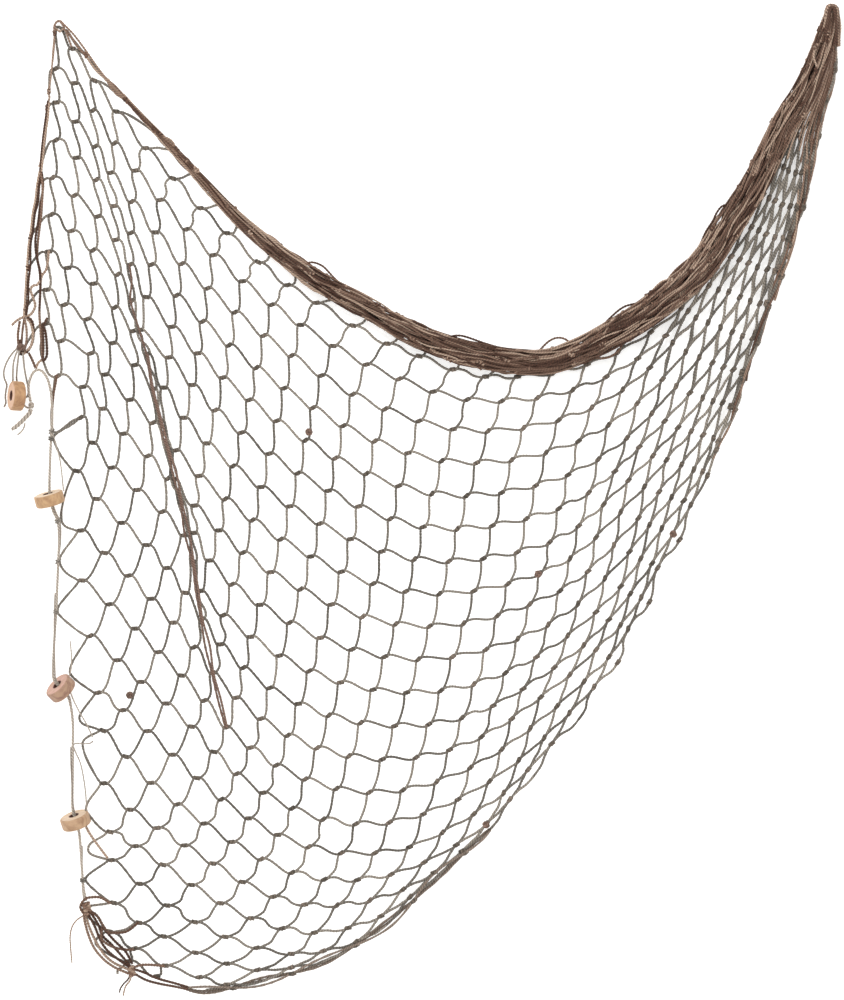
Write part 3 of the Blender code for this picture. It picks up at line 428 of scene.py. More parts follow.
class Rope:
    """The gathered edge, from the loose end of the left bunch over both hooks: a bundle of bars in
    which every knot sits at its level."""

    def __init__(self):
        left = np.array(LEFT_BUNCH[::-1])
        right = np.array(BUNDLE[1:])
        self.points = smooth(np.vstack([left, right]), 400)
        steps = np.linalg.norm(np.diff(self.points[:, :2], axis=0), axis=1)
        self.run = np.concatenate([[0.0], np.cumsum(steps)])
        hook = np.argmin(np.hypot(self.points[:, 0] - BUNDLE[0][0], self.points[:, 1] - BUNDLE[0][1]))
        self.stations = ([LINE_LEVEL, LEFT_HOOK_LEVEL, HOOK_LEVEL],
                         [0.0, self.run[hook], self.run[-1]])

    def place(self, level, across, inward):
        """Points at a level; across and inward are offsets in the section, from -1 to 1."""
        level = np.asarray(level, float)
        run = np.interp(level, *self.stations)
        x, z, radius = (np.interp(run, self.run, self.points[:, k]) for k in range(3))
        x2, z2 = (np.interp(run + 0.004, self.run, self.points[:, k]) for k in range(2))
        x1, z1 = (np.interp(run - 0.004, self.run, self.points[:, k]) for k in range(2))
        length = np.maximum(np.hypot(x2 - x1, z2 - z1), 1e-9)
        side = radius * across
        return np.stack([x - side * (z2 - z1) / length,
                         radius * inward * BUNDLE_FLATTENING,
                         z + side * (x2 - x1) / length], axis=-1)


def smooth(points, count):
    """count points, evenly spaced, on a Catmull-Rom curve through the given ones."""
    given = np.asarray(points, float)
    ends = np.vstack([2 * given[0] - given[1], given, 2 * given[-1] - given[-2]])
    fine = []
    for p0, p1, p2, p3 in zip(ends, ends[1:], ends[2:], ends[3:]):
        t = np.linspace(0.0, 1.0, 16, endpoint=False)[:, None]
        fine.append(0.5 * (2 * p1 + (p2 - p0) * t + (2 * p0 - 5 * p1 + 4 * p2 - p3) * t ** 2
                           + (3 * p1 - 3 * p2 + p3 - p0) * t ** 3))
    fine = np.vstack(fine + [given[-1:]])
    run = np.concatenate([[0.0], np.cumsum(np.linalg.norm(np.diff(fine[:, :2], axis=0), axis=1))])
    if given.shape[1] == 3 and np.ptp(given[:, 2]) > 0:
        run = np.concatenate([[0.0], np.cumsum(np.linalg.norm(np.diff(fine, axis=0), axis=1))])
    stops = np.linspace(0.0, run[-1], count)
    return np.column_stack([np.interp(stops, run, fine[:, k]) for k in range(fine.shape[1])])


def link_object(name, data):
    made = bpy.data.objects.new(name, data)
    bpy.context.scene.collection.objects.link(made)
    return made


# ---------------------------------------------------------------- tubes
def unit(vectors):
    return vectors / np.maximum(np.linalg.norm(vectors, axis=-1, keepdims=True), 1e-12)


class Tubes:
    """Collects twisted tubes and makes one closed mesh of them."""

    def __init__(self):
        self.vertices = []
        self.quads = []
        self.caps = []
        self.quad_uv = []
        self.tones = []
        self.count = 0

    def add(self, paths, radius, sides=8, plies=2, relief=0.16, lay=LAY):
        """paths: tubes x rings x 3.  radius: one number, or one for each ring."""
        paths = np.asarray(paths, float)
        if paths.ndim == 2:
            paths = paths[None]
        tubes, rings, _ = paths.shape
        forward = unit(np.gradient(paths, axis=1))
        side = unit(np.cross(forward, TO_WALL))
        up = np.cross(side, forward)
        step = np.linalg.norm(np.diff(paths, axis=1), axis=2)
        run = np.concatenate([np.zeros((tubes, 1)), np.cumsum(step, axis=1)], axis=1)
        angle = np.arange(sides) * (2 * math.pi / sides)
        start = RANDOM.uniform(0.0, 2 * math.pi, (tubes, 1, 1))
        twist = run[..., None] * (2 * math.pi / lay) + start
        wave = 1.0 + relief * np.cos(plies * (angle - twist))
        thick = np.broadcast_to(np.asarray(radius, float), (tubes, rings))[..., None] * wave
        spots = (paths[:, :, None]
                 + thick[..., None] * (np.cos(angle)[:, None] * side[:, :, None]
                                       + np.sin(angle)[:, None] * up[:, :, None]))
        base = self.count + np.arange(tubes)[:, None, None] * rings * sides
        ring = np.arange(rings - 1)[None, :, None] * sides
        around = np.arange(sides)[None, None]
        after = (around + 1) % sides
        corners = [base + ring + around, base + ring + after,
                   base + ring + sides + after, base + ring + sides + around]
        self.quads.append(np.stack(np.broadcast_arrays(*corners), axis=-1).reshape(-1, 4))
        along = -run / lay - start[..., 0] / (2 * math.pi)
        edge = np.stack(np.broadcast_arrays(along[:, :-1, None], around / sides), axis=-1)
        edge2 = np.stack(np.broadcast_arrays(along[:, :-1, None], (around + 1) / sides), axis=-1)
        edge3 = np.stack(np.broadcast_arrays(along[:, 1:, None], (around + 1) / sides), axis=-1)
        edge4 = np.stack(np.broadcast_arrays(along[:, 1:, None], around / sides), axis=-1)
        self.quad_uv.append(np.stack([edge, edge2, edge3, edge4], axis=-2).reshape(-1, 2))
        tone = np.broadcast_to(RANDOM.uniform(0.0, 1.0, (tubes, 1, 1, 2)), (tubes, rings - 1, 4 * sides, 2))
        self.tones.append(tone.reshape(-1, 2))
        first = base[:, 0, 0, None] + np.arange(sides)[::-1]
        last = base[:, 0, 0, None] + (rings - 1) * sides + np.arange(sides)
        self.caps += list(np.concatenate([first, last]))
        self.vertices.append(spots.reshape(-1, 3))
        self.count += tubes * rings * sides

    def build(self, name, material, owner="root"):
        mesh = bpy.data.meshes.new(name)
        spots = np.concatenate(self.vertices)
        quads = np.concatenate(self.quads)
        loops = np.concatenate([quads.ravel()] + self.caps)
        sizes = np.concatenate([np.full(len(quads), 4), [len(c) for c in self.caps]]).astype(int)
        starts = np.concatenate([[0], np.cumsum(sizes)[:-1]])
        mesh.vertices.add(len(spots))
        mesh.vertices.foreach_set("co", spots.astype(np.float32).ravel())
        mesh.loops.add(len(loops))
        mesh.loops.foreach_set("vertex_index", loops.astype(np.int32))
        mesh.polygons.add(len(sizes))
        mesh.polygons.foreach_set("loop_start", starts.astype(np.int32))
        mesh.update(calc_edges=True)
        layer = mesh.uv_layers.new(name="twine")
        uv = np.concatenate([np.concatenate(self.quad_uv), np.zeros((len(loops) - quads.size, 2))])
        layer.data.foreach_set("uv", uv.astype(np.float32).ravel())
        layer = mesh.uv_layers.new(name="tone")
        uv = np.concatenate([np.concatenate(self.tones), np.full((len(loops) - quads.size, 2), 0.5)])
        layer.data.foreach_set("uv", uv.astype(np.float32).ravel())
        mesh.shade_smooth()
        piece = link_object(name, mesh)
        mesh.materials.append(material)
        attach(piece, owner)
        return piece


def hermite(start, end, leave, arrive, rings):
    """Curves between two ends with the given end slopes, all of them arrays of points."""
    t = np.linspace(0.0, 1.0, rings)[:, None]
    h00 = 2 * t ** 3 - 3 * t ** 2 + 1
    h10 = t ** 3 - 2 * t ** 2 + t
    h01 = -2 * t ** 3 + 3 * t ** 2
    h11 = t ** 3 - t ** 2
    return (start[:, None] * h00 + leave[:, None] * h10
            + end[:, None] * h01 + arrive[:, None] * h11)


def bars_of_length(start, end, leave, arrive, rings, length, least=0.5, most=1.9):
    """Hermite curves whose slopes are stretched until each bar has its real length."""
    chord = np.linalg.norm(end - start, axis=1)
    low = np.full(len(start), least)
    high = np.full(len(start), most)
    for _ in range(9):
        pull = (0.5 * (low + high) * chord)[:, None]
        curve = hermite(start, end, leave * pull, arrive * pull, rings)
        run = np.linalg.norm(np.diff(curve, axis=1), axis=2).sum(axis=1)
        longer = run > length
        high = np.where(longer, 0.5 * (low + high), high)
        low = np.where(longer, low, 0.5 * (low + high))
    return curve


# ---------------------------------------------------------------- materials
def new_material(name):
    made = bpy.data.materials.new(name)
    made.use_nodes = True
    return made, made.node_tree.nodes, made.node_tree.links


def ramp(nodes, stops):
    node = nodes.new("ShaderNodeValToRGB")
    elements = node.color_ramp.elements
    while len(elements) < len(stops):
        elements.new(0.5)
    for element, (place, colour) in zip(elements, stops):
        element.position = place
        element.color = (*colour, 1.0)
    return node


def twine_material(name, tones, plies=2, roughness=0.88, patch=9.0, spread=0.5, sheen=0.15):
    """Twisted cotton: patches of stain, a tone for each strand, fine fibre mottling, and bands along the lay
    that darken the hollows between the plies and lighten their crowns, as painted shade and painted
    highlight.
    """
    made, nodes, links = new_material(name)
    shader = nodes["Principled BSDF"]
    shader.inputs["Roughness"].default_value = roughness
    shader.inputs["Sheen Weight"].default_value = sheen
    place = nodes.new("ShaderNodeTexCoord")
    patches = nodes.new("ShaderNodeTexNoise")
    patches.inputs["Scale"].default_value = patch
    patches.inputs["Detail"].default_value = 4.0
    patches.inputs["Roughness"].default_value = 0.65
    links.new(place.outputs["Object"], patches.inputs["Vector"])
    strand = nodes.new("ShaderNodeUVMap")
    strand.uv_map = "tone"
    split = nodes.new("ShaderNodeSeparateXYZ")
    links.new(strand.outputs["UV"], split.inputs["Vector"])
    blend = nodes.new("ShaderNodeMix")
    blend.inputs["Factor"].default_value = spread
    links.new(patches.outputs["Fac"], blend.inputs["A"])
    links.new(split.outputs["X"], blend.inputs["B"])
    stain = ramp(nodes, [(0.22 + 0.56 * k / (len(tones) - 1), tone) for k, tone in enumerate(tones)])
    links.new(blend.outputs["Result"], stain.inputs["Fac"])
    fuzz = nodes.new("ShaderNodeTexNoise")
    fuzz.inputs["Scale"].default_value = 420.0
    fuzz.inputs["Detail"].default_value = 3.0
    links.new(place.outputs["Object"], fuzz.inputs["Vector"])
    lay = nodes.new("ShaderNodeUVMap")
    lay.uv_map = "twine"
    # Painted shade and painted highlight: diagonal bands along the lay, dark in the hollows between the plies
    # and light on their crowns.
    ply_shade_bands = nodes.new("ShaderNodeTexWave")
    ply_shade_bands.wave_type = "BANDS"
    ply_shade_bands.bands_direction = "DIAGONAL"
    ply_shade_bands.inputs["Scale"].default_value = 0.2 * math.pi * plies
    links.new(lay.outputs["UV"], ply_shade_bands.inputs["Vector"])
    both = nodes.new("ShaderNodeMix")
    both.inputs["Factor"].default_value = 0.62
    links.new(fuzz.outputs["Fac"], both.inputs["A"])
    links.new(ply_shade_bands.outputs["Fac"], both.inputs["B"])
    # The bands and the fibre mottling scale the colour from 1.35 down to 0.45: painted ply shading mixed with
    # the fibre's own mottling.
    shade = nodes.new("ShaderNodeMapRange")
    shade.inputs["From Min"].default_value = 0.15
    shade.inputs["From Max"].default_value = 0.85
    shade.inputs["To Min"].default_value = 1.35
    shade.inputs["To Max"].default_value = 0.45
    links.new(both.outputs["Result"], shade.inputs["Value"])
    tint = nodes.new("ShaderNodeVectorMath")
    tint.operation = "SCALE"
    links.new(stain.outputs["Color"], tint.inputs[0])
    links.new(shade.outputs["Result"], tint.inputs["Scale"])
    links.new(tint.outputs["Vector"], shader.inputs["Base Color"])
    bump = nodes.new("ShaderNodeBump")
    bump.inputs["Strength"].default_value = 0.5
    bump.inputs["Distance"].default_value = 0.0004
    links.new(fuzz.outputs["Fac"], bump.inputs["Height"])
    links.new(bump.outputs["Normal"], shader.inputs["Normal"])
    return made


def wood_material(name, light, dark):
    """Turned softwood with grain across the disc."""
    made, nodes, links = new_material(name)
    shader = nodes["Principled BSDF"]
    shader.inputs["Roughness"].default_value = 0.55
    place = nodes.new("ShaderNodeTexCoord")
    stretch = nodes.new("ShaderNodeMapping")
    stretch.inputs["Scale"].default_value = (60.0, 380.0, 90.0)
    links.new(place.outputs["Object"], stretch.inputs["Vector"])
    grain = nodes.new("ShaderNodeTexNoise")
    grain.inputs["Scale"].default_value = 1.0
    grain.inputs["Detail"].default_value = 5.0
    grain.inputs["Roughness"].default_value = 0.6
    links.new(stretch.outputs["Vector"], grain.inputs["Vector"])
    tone = ramp(nodes, [(0.30, dark), (0.62, light)])
    links.new(grain.outputs["Fac"], tone.inputs["Fac"])
    links.new(tone.outputs["Color"], shader.inputs["Base Color"])
    bump = nodes.new("ShaderNodeBump")
    bump.inputs["Strength"].default_value = 0.35
    bump.inputs["Distance"].default_value = 0.0004
    links.new(grain.outputs["Fac"], bump.inputs["Height"])
    links.new(bump.outputs["Normal"], shader.inputs["Normal"])
    return made


# ---------------------------------------------------------------- net
def depth_shift(a, b):
    """A steady random number in -1..1 for each lattice point."""
    value = np.sin(np.asarray(a) * 127.1 + np.asarray(b) * 311.7) * 43758.5453
    return 2.0 * (value - np.floor(value)) - 1.0


def in_space(flat, depth):
    depth = np.broadcast_to(depth, flat.shape[:-1])
    return np.stack([flat[..., 0], depth, flat[..., 1]], axis=-1)


class Net:
    """All knots of the net and the curves of all its bars."""

    def __init__(self):
        self.lattice = Lattice(GUIDE_ROWS)
        self.rope = Rope()
        levels, x, z = np.array(EDGE).T
        fine = smooth(np.column_stack([levels, x, z]), 300)
        self.edge = fine[np.argsort(fine[:, 0])]

    def is_open(self, a, b):
        return (a >= LEFT_COLUMN) & (b >= TOP_ROW)

    def hidden_rows(self, level):
        rows = np.interp(level, *np.array(GATHERED_ROWS).T)
        return np.where(level > LEFT_HOOK_LEVEL, rows, LEFT_BUNCH_ROWS)

    def first_open(self, level):
        return np.where(level > LEFT_HOOK_LEVEL, level + 2 * TOP_ROW, -level + 2 * LEFT_COLUMN)

    def gathered(self, a, b):
        """Knots in the gathered edge: folded slowly to and fro across it, from front to back."""
        level = a - b
        row = a + b
        behind = self.first_open(level) - row
        share = np.clip(behind / np.maximum(self.hidden_rows(level), 1), 0.0, 1.0)
        swing = behind * 0.065 + 0.06 * np.sin(level * 0.4) + 0.05 * depth_shift(a, b)
        across = 1.0 - 4.0 * np.abs(swing - np.floor(swing + 0.5))
        across = np.where(level > LEFT_HOOK_LEVEL, -across, 0.85 * behind - 1.6)
        inward = 0.9 - 1.9 * share + 0.3 * depth_shift(b, a)
        inward = inward * np.sqrt(1.0 - 0.6 * np.clip(across, -1, 1) ** 2)
        slip = 0.40 * depth_shift(a + 5, b - 3) + 0.4 * (a == LEFT_COLUMN - 1)
        return self.rope.place(level + slip, 0.92 * across, np.clip(inward, -1.0, 1.0))

    def on_edge(self, level, outward=0.0):
        """Points of the lower edge; outward moves them away from the net."""
        level = np.asarray(level, float)
        flat = np.stack([np.interp(level, self.edge[:, 0], self.edge[:, k]) for k in (1, 2)], axis=-1)
        ahead = np.stack([np.interp(level + 0.3, self.edge[:, 0], self.edge[:, k]) for k in (1, 2)], axis=-1)
        behind = np.stack([np.interp(level - 0.3, self.edge[:, 0], self.edge[:, k]) for k in (1, 2)], axis=-1)
        along = unit(ahead - behind)
        away = np.stack([along[..., 1], -along[..., 0]], axis=-1)
        flat = flat + away * np.asarray(outward, float)[..., None]
        return flat, along

    def knots(self, a, b):
        flat = self.lattice.flat(a, b)
        last = a + b == EDGE_ROW
        flat = np.where(last[..., None], self.on_edge(a - b)[0], flat)
        sheet = in_space(flat, self.lattice.depth(flat))
        return np.where(self.is_open(a, b)[..., None], sheet, self.gathered(a, b))

    def axes(self, a, b):
        """Directions of the bars that leave a knot, and the knot's own axis, in the sheet."""
        right = unit(self.lattice.flat(a + 0.5, b) - self.lattice.flat(a - 0.5, b))
        down = unit(self.lattice.flat(a, b + 0.5) - self.lattice.flat(a, b - 0.5))
        axis = unit(right - down)
        openness = np.abs(right[..., 0] * down[..., 1] - right[..., 1] * down[..., 0])
        return in_space(right, 0.0), in_space(down, 0.0), in_space(axis, 0.0), openness


def lattice_points(net):
    """All (column, row) of the net, in two arrays."""
    points = []
    for level in range(LINE_LEVEL, HOOK_LEVEL + 1):
        first = int(net.first_open(level) - net.hidden_rows(level))
        last = EDGE_ROW if level > -17 else EDGE_ROW - 2
        points += [((row + level) // 2, (row - level) // 2)
                   for row in range(first, last + 1) if (row + level) % 2 == 0]
    return np.array(points).T


def build_net(net, materials):
    a, b = lattice_points(net)
    members = {(p, q) for p, q in zip(a.tolist(), b.tolist())}
    open_knot = net.is_open(a, b)
    bars = []
    for p, q in sorted(members):
        for kind, (r, s) in ((1, (p + 1, q)), (0, (p, q + 1))):
            if (r, s) in members:
                bars.append((kind, p, q, r, s))
    bars = np.array(bars)
    start_open = net.is_open(bars[:, 1], bars[:, 2])
    end_open = net.is_open(bars[:, 3], bars[:, 4])
    draw_open_bars(net, bars[start_open & end_open], materials)
    draw_gathered_bars(net, bars[~start_open & ~end_open], materials)
    draw_bridging_bars(net, bars[start_open != end_open], materials)
    knotted = (a + b < EDGE_ROW) | (a - b >= 0)
    at_left_hook = (a == LEFT_COLUMN) & (b == TOP_ROW)
    inner = open_knot & (a - b > LINE_LEVEL) & (a - b < HOOK_LEVEL) & knotted & ~at_left_hook
    draw_knots(net, a[inner], b[inner], materials)
    tied = ~open_knot & (a - b != LEFT_HOOK_LEVEL)
    draw_gathered_knots(net, a[tied], b[tied], materials)
    draw_edge_strands(net, materials)
    draw_crease(net, materials)


def bar_ends(net, kind_a, a, b, leaving):
    """Where a bar meets its knot, and its slope there."""
    centre = net.knots(a, b)
    right, down, axis, openness = net.axes(a, b)
    across = np.stack([axis[:, 2], np.zeros(len(axis)), -axis[:, 0]], axis=-1)
    half = KNOT_HALF * axis
    lean = (openness ** 2)[:, None]
    first = kind_a[:, None]
    if leaving:
        place = np.where(first, centre + half, centre - half)
        slope = np.where(first, unit(lean * axis + 0.5 * right), unit(down + 0.4 * lean * across))
    else:
        place = np.where(first, centre - half, centre + half)
        slope = np.where(first, unit(right + 0.25 * lean * axis), unit(down - 0.9 * lean * axis))
    on_line = (a - b == LINE_LEVEL)[:, None]
    on_edge = (a + b == EDGE_ROW)[:, None]
    at_hook = (a - b == HOOK_LEVEL)[:, None]
    at_left_hook = ((a == LEFT_COLUMN) & (b == TOP_ROW))[:, None]
    place = np.where(on_line | on_edge | at_hook | at_left_hook, centre, place)
    slope = np.where(on_line, unit(right + down), slope)
    slope = np.where(on_edge | at_hook, np.where(first, axis, -axis), slope)
    return place, slope


def draw_open_bars(net, bars, materials):
    kind = bars[:, 0].astype(bool)
    start, leave = bar_ends(net, kind, bars[:, 1], bars[:, 2], True)
    end, arrive = bar_ends(net, kind, bars[:, 3], bars[:, 4], False)
    rings = 20
    chord = np.linalg.norm(end - start, axis=1)
    length = np.clip(BAR - 2 * KNOT_HALF + 0.001, chord * 1.012, chord * 1.055)
    paths = bars_of_length(start, end, leave, arrive, rings, length)
    t = np.linspace(0.0, 1.0, rings)
    shift = depth_shift(bars[:, 1] + 3 * kind, bars[:, 2])[:, None]
    sway = depth_shift(bars[:, 2] + 5 * kind, bars[:, 1])[:, None]
    paths[:, :, 1] += 0.0015 * shift * np.sin(math.pi * t)
    paths[:, :, 0] += 0.0007 * sway * np.sin(2 * math.pi * t)
    paths[:, :, 2] += 0.0006 * shift * np.sin(2 * math.pi * t)
    for part, (low, high) in enumerate([(-99, -3), (-3, 6), (6, 99)]):
        chosen = (bars[:, 1] >= low) & (bars[:, 1] < high)
        tubes = Tubes()
        level = bars[chosen, 1] - bars[chosen, 2]
        thick = TWINE * np.interp(level, [4, 12], [1.0, 1.1])[:, None]
        tubes.add(paths[chosen], thick, sides=7)
        doubled = (level > 8) & (np.arange(len(level)) % 5 < 2)
        if doubled.any():
            beside = paths[chosen][doubled]
            aside = 0.0024 * np.sin(math.pi * t) * np.where(np.arange(len(beside)) % 2, 1.0, -1.0)[:, None]
            beside[:, :, 0] += aside
            beside[:, :, 1] -= 0.001
            tubes.add(beside, TWINE * 0.85, sides=6)
        tubes.build(f"net_twines_{part + 1}", materials["twine"])


def draw_gathered_bars(net, bars, materials):
    a0, b0, a1, b1 = bars[:, 1], bars[:, 2], bars[:, 3], bars[:, 4]
    start = net.gathered(a0, b0)
    end = net.gathered(a1, b1)
    rings = 12
    t = np.linspace(0.0, 1.0, rings)[None, :]
    level = (a0 - b0)[:, None] * (1 - t) + (a1 - b1)[:, None] * t
    middle = net.rope.place(level, 0.0 * level, 0.0 * level)
    ease = (3 * t ** 2 - 2 * t ** 3)[..., None]
    offset = (start[:, None] - middle[:, :1]) * (1 - ease) + (end[:, None] - middle[:, -1:]) * ease
    paths = middle + offset
    slack = 0.0030 * depth_shift(a0 + 2 * a1, b0)[:, None] * np.sin(math.pi * t)
    paths[:, :, 0] += slack
    paths[:, :, 2] += slack
    tubes = Tubes()
    tubes.add(paths, TWINE * 0.85, sides=6, relief=0.2)
    piece = tubes.build("gathered_twines", materials["bundle"])
    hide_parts("net")


def draw_bridging_bars(net, bars, materials):
    kind = bars[:, 0].astype(bool)
    start_open = net.is_open(bars[:, 1], bars[:, 2])
    open_start, open_leave = bar_ends(net, kind, bars[:, 1], bars[:, 2], True)
    open_end, open_arrive = bar_ends(net, kind, bars[:, 3], bars[:, 4], False)
    start = np.where(start_open[:, None], open_start, net.gathered(bars[:, 1], bars[:, 2]))
    end = np.where(start_open[:, None], net.gathered(bars[:, 3], bars[:, 4]), open_end)
    chord = unit(end - start)
    leave = np.where(start_open[:, None], open_leave, chord)
    arrive = np.where(start_open[:, None], chord, open_arrive)
    span = np.linalg.norm(end - start, axis=1)
    length = np.clip(BAR - 2 * KNOT_HALF + 0.001, span * 1.012, span * 1.08)
    paths = bars_of_length(start, end, leave, arrive, 20, length)
    tubes = Tubes()
    tubes.add(paths, TWINE, sides=8)
    tubes.build("net_twines_to_bundle", materials["twine"])


def knot_paths(centres, axes, swell):
    """Turns of a knot round its axis, and the two bars that run through it."""
    across = unit(np.cross(axes, TO_WALL))
    t = np.linspace(0.0, 1.0, 20)
    angle = 2 * math.pi * (1.9 * t - 0.35)
    along = (KNOT_HALF * 0.82) * np.sin(math.pi * (t - 0.5))
    coil = (centres[:, None]
            + along[None, :, None] * axes[:, None]
            + (KNOT_COIL * swell * np.cos(angle))[None, :, None] * across[:, None]
            + (KNOT_COIL * swell * np.sin(angle))[None, :, None] * TO_WALL)
    reach = np.linspace(-1.0, 1.0, 7) * KNOT_HALF * 1.15
    core = centres[:, None] + reach[None, :, None] * axes[:, None]
    return coil, core


def add_knots(tubes, coil, core, size=1.0):
    """Soft knots: a fat core with the turns half sunk in it."""
    size = np.broadcast_to(np.asarray(size, float), (len(coil),))[:, None]
    tubes.add(coil, 1.12 * TWINE * size, sides=5, relief=0.08)
    tubes.add(core, TWINE * size * np.array([0.9, 1.35, 1.7, 1.8, 1.7, 1.35, 0.9]), sides=6, relief=0.05)


def draw_knots(net, a, b, materials):
    centres = net.knots(a, b)
    _, _, axis, _ = net.axes(a, b)
    tilt = 0.35 * depth_shift(a, b)[:, None]
    across = np.stack([axis[:, 2], np.zeros(len(axis)), -axis[:, 0]], axis=-1)
    coil, core = knot_paths(centres, unit(axis + tilt * across), 1.0)
    tubes = Tubes()
    add_knots(tubes, coil, core, np.interp(a - b, [4, 12], [1.0, 1.1]))
    tubes.build("net_knots", materials["knot"])


def draw_gathered_knots(net, a, b, materials):
    centres = net.gathered(a, b)
    ahead = net.rope.place(a - b + 0.3, 0 * a, 0 * a) - net.rope.place(a - b - 0.3, 0 * a, 0 * a)
    wobble = np.stack([depth_shift(a, b), 0.3 * depth_shift(b, a), depth_shift(a + 2, b)], axis=-1)
    coil, core = knot_paths(centres, unit(unit(ahead) + 0.5 * wobble), 1.0)
    tubes = Tubes()
    add_knots(tubes, coil, core, 0.8)
    tubes.build("gathered_knots", materials["bundle"])


def edge_path(net, first, last, outward, depth):
    """A strand along the lower edge between two levels; outward and depth are functions of level."""
    levels = np.linspace(first, last, int(14 * (last - first)))
    flat, _ = net.on_edge(levels, outward(levels))
    return in_space(flat, net.lattice.depth(flat) + depth(levels))


def draw_edge_strands(net, materials):
    """The slack last meshes, pulled flat along the edge, and the folded band in the fan."""
    tubes = Tubes()
    for swing, depth in ((0.0048, 0.0015), (-0.0055, -0.0020), (0.0012, 0.0005)):
        tubes.add(edge_path(net, -17, -6,
                            lambda s: swing * np.sin(0.5 * math.pi * (s + 1.0)) * np.clip(-5.8 - s, 0, 1),
                            lambda s: depth + 0.001 * np.sin(1.3 * s)), TWINE * 0.9, sides=8)
    tubes.build("lower_edge_strands", materials["edge"])
    tubes = Tubes()
    for strand in range(7):
        first = 6.5 + 1.2 * strand
        rest = -0.0022 * strand - 0.001
        tubes.add(edge_path(net, first, 19.8,
                            lambda s: (rest * np.clip((s - first) / 2, 0, 1)
                                       + 0.0022 * np.sin(2.6 * s + 2.2 * strand)),
                            lambda s: 0.003 * np.sin(1.9 * s + 2.1 * strand)), TWINE * 0.85, sides=8)
    tubes.build("edge_strands", materials["bundle"])
    levels = np.concatenate([np.arange(-15, -6, 2), np.arange(7, 20, 1), np.arange(8, 20, 1)]).astype(float)
    count = len(levels)
    order = np.arange(count)
    flat, along = net.on_edge(levels + np.where(order < 5, 0.0, 0.3 * depth_shift(order, 3)),
                              np.where(order < 5, 0.001, -0.003 - 0.006 * (order > 17)))
    centres = in_space(flat, net.lattice.depth(flat) - 0.001)
    coil, core = knot_paths(centres, in_space(along, 0.0), 0.95)
    knots = Tubes()
    add_knots(knots, coil, core)
    knots.build("edge_knots", materials["knot"])


def draw_crease(net, materials):
    """Two more twines that run down the crease, caught together at its knots."""
    a, b = np.array(CREASE).T
    tubes = Tubes()
    for side, first in ((-1.0, 3), (1.0, 5)):
        points = []
        spots = net.knots(a, b)[first:]
        for k, spot in enumerate(spots):
            points.append(spot + np.array([0.0012 * side, -0.0035, 0.0]))
            if k + 1 < len(spots):
                swell = 0.0035 * side * (0.4 + depth_shift(k, 2))
                points.append(0.5 * (spot + spots[k + 1]) + np.array([swell, -0.0035, 0.0]))
        tubes.add(smooth(points, 220), TWINE * 0.9, sides=8)
    tubes.build("crease_twines", materials["stained"])


# ---------------------------------------------------------------- floats and line
def build_float(name, centre, facing, side, face, hole):
    outer = FLOAT_DIAMETER / 2
    bore = FLOAT_BORE / 2
    half = FLOAT_THICKNESS / 2
    profile = []
    for corner_r, corner_z, size, first, last, stops in [
            (outer - RIM_ROUNDING, half - RIM_ROUNDING, RIM_ROUNDING, 90, 0, 8),
            (outer - RIM_ROUNDING, -half + RIM_ROUNDING, RIM_ROUNDING, 0, -90, 8),
            (bore + BORE_ROUNDING, -half + BORE_ROUNDING, BORE_ROUNDING, -90, -180, 5),
            (bore + BORE_ROUNDING, half - BORE_ROUNDING, BORE_ROUNDING, 180, 90, 5)]:
        for angle in np.radians(np.linspace(first, last, stops)):
            profile.append((corner_r + size * math.cos(angle), corner_z + size * math.sin(angle)))
    sides = 72
    count = len(profile)
    spots = [(r * math.cos(2 * math.pi * s / sides), r * math.sin(2 * math.pi * s / sides), z)
             for s in range(sides) for r, z in profile]
    faces = [(s * count + k, s * count + (k + 1) % count,
              ((s + 1) % sides) * count + (k + 1) % count, ((s + 1) % sides) * count + k)
             for s in range(sides) for k in range(count)]
    mesh = bpy.data.meshes.new(name + "_wood")
    mesh.from_pydata(spots, [], faces)
    mesh.transform(Matrix.Translation(centre)
                   @ Vector(facing).to_track_quat("Z", "Y").to_matrix().to_4x4())
    mesh.shade_smooth()
    piece = link_object(name + "_wood", mesh)
    for material in (side, face, hole):
        mesh.materials.append(material)
    ring = np.tile(np.arange(count), sides)
    part = np.where((ring >= 16) & (ring < 25), 2, np.where((ring == 25) | (ring == 15), 1, 0))
    mesh.polygons.foreach_set("material_index", part.astype(np.int32))
    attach(piece, "root")
    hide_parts(name)


def run_of(path):
    return float(np.linalg.norm(np.diff(path, axis=0), axis=1).sum())


def declare_cord(path, radius):
    if run_of(path) < max(0.031, 12.5 * radius):
        return


def build_cords(materials):
    path = smooth(FLOAT_LINE, 500)
    tubes = Tubes()
    tubes.add(path, LINE, sides=12, plies=3, relief=0.13, lay=0.014)
    piece = tubes.build("float_line_cord", materials["line"])
    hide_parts("float_line")
    declare_cord(path, LINE)
    for name, route in HANGERS.items():
        path = smooth(route, 90)
        tubes = Tubes()
        tubes.add(path, HANGER_TWINE, sides=10, relief=0.14)
        piece = tubes.build(name + "_cord", materials["line"])
        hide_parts(name)
        declare_cord(path, HANGER_TWINE)
    for name, (radius, route) in FREE_ENDS.items():
        path = smooth(route, 70)
        thick = np.full(70, radius)
        thick[-8:] *= np.linspace(1.0, 0.7, 8)
        tubes = Tubes()
        tubes.add(path, thick, sides=12, plies=3 if radius > 0.002 else 2, relief=0.16,
                  lay=0.018 if radius > 0.002 else 0.007)
        of_line = name.startswith("line")
        piece = tubes.build(name + "_cord", materials["line" if of_line else "bundle"])
        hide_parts(name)
        declare_cord(path, radius)


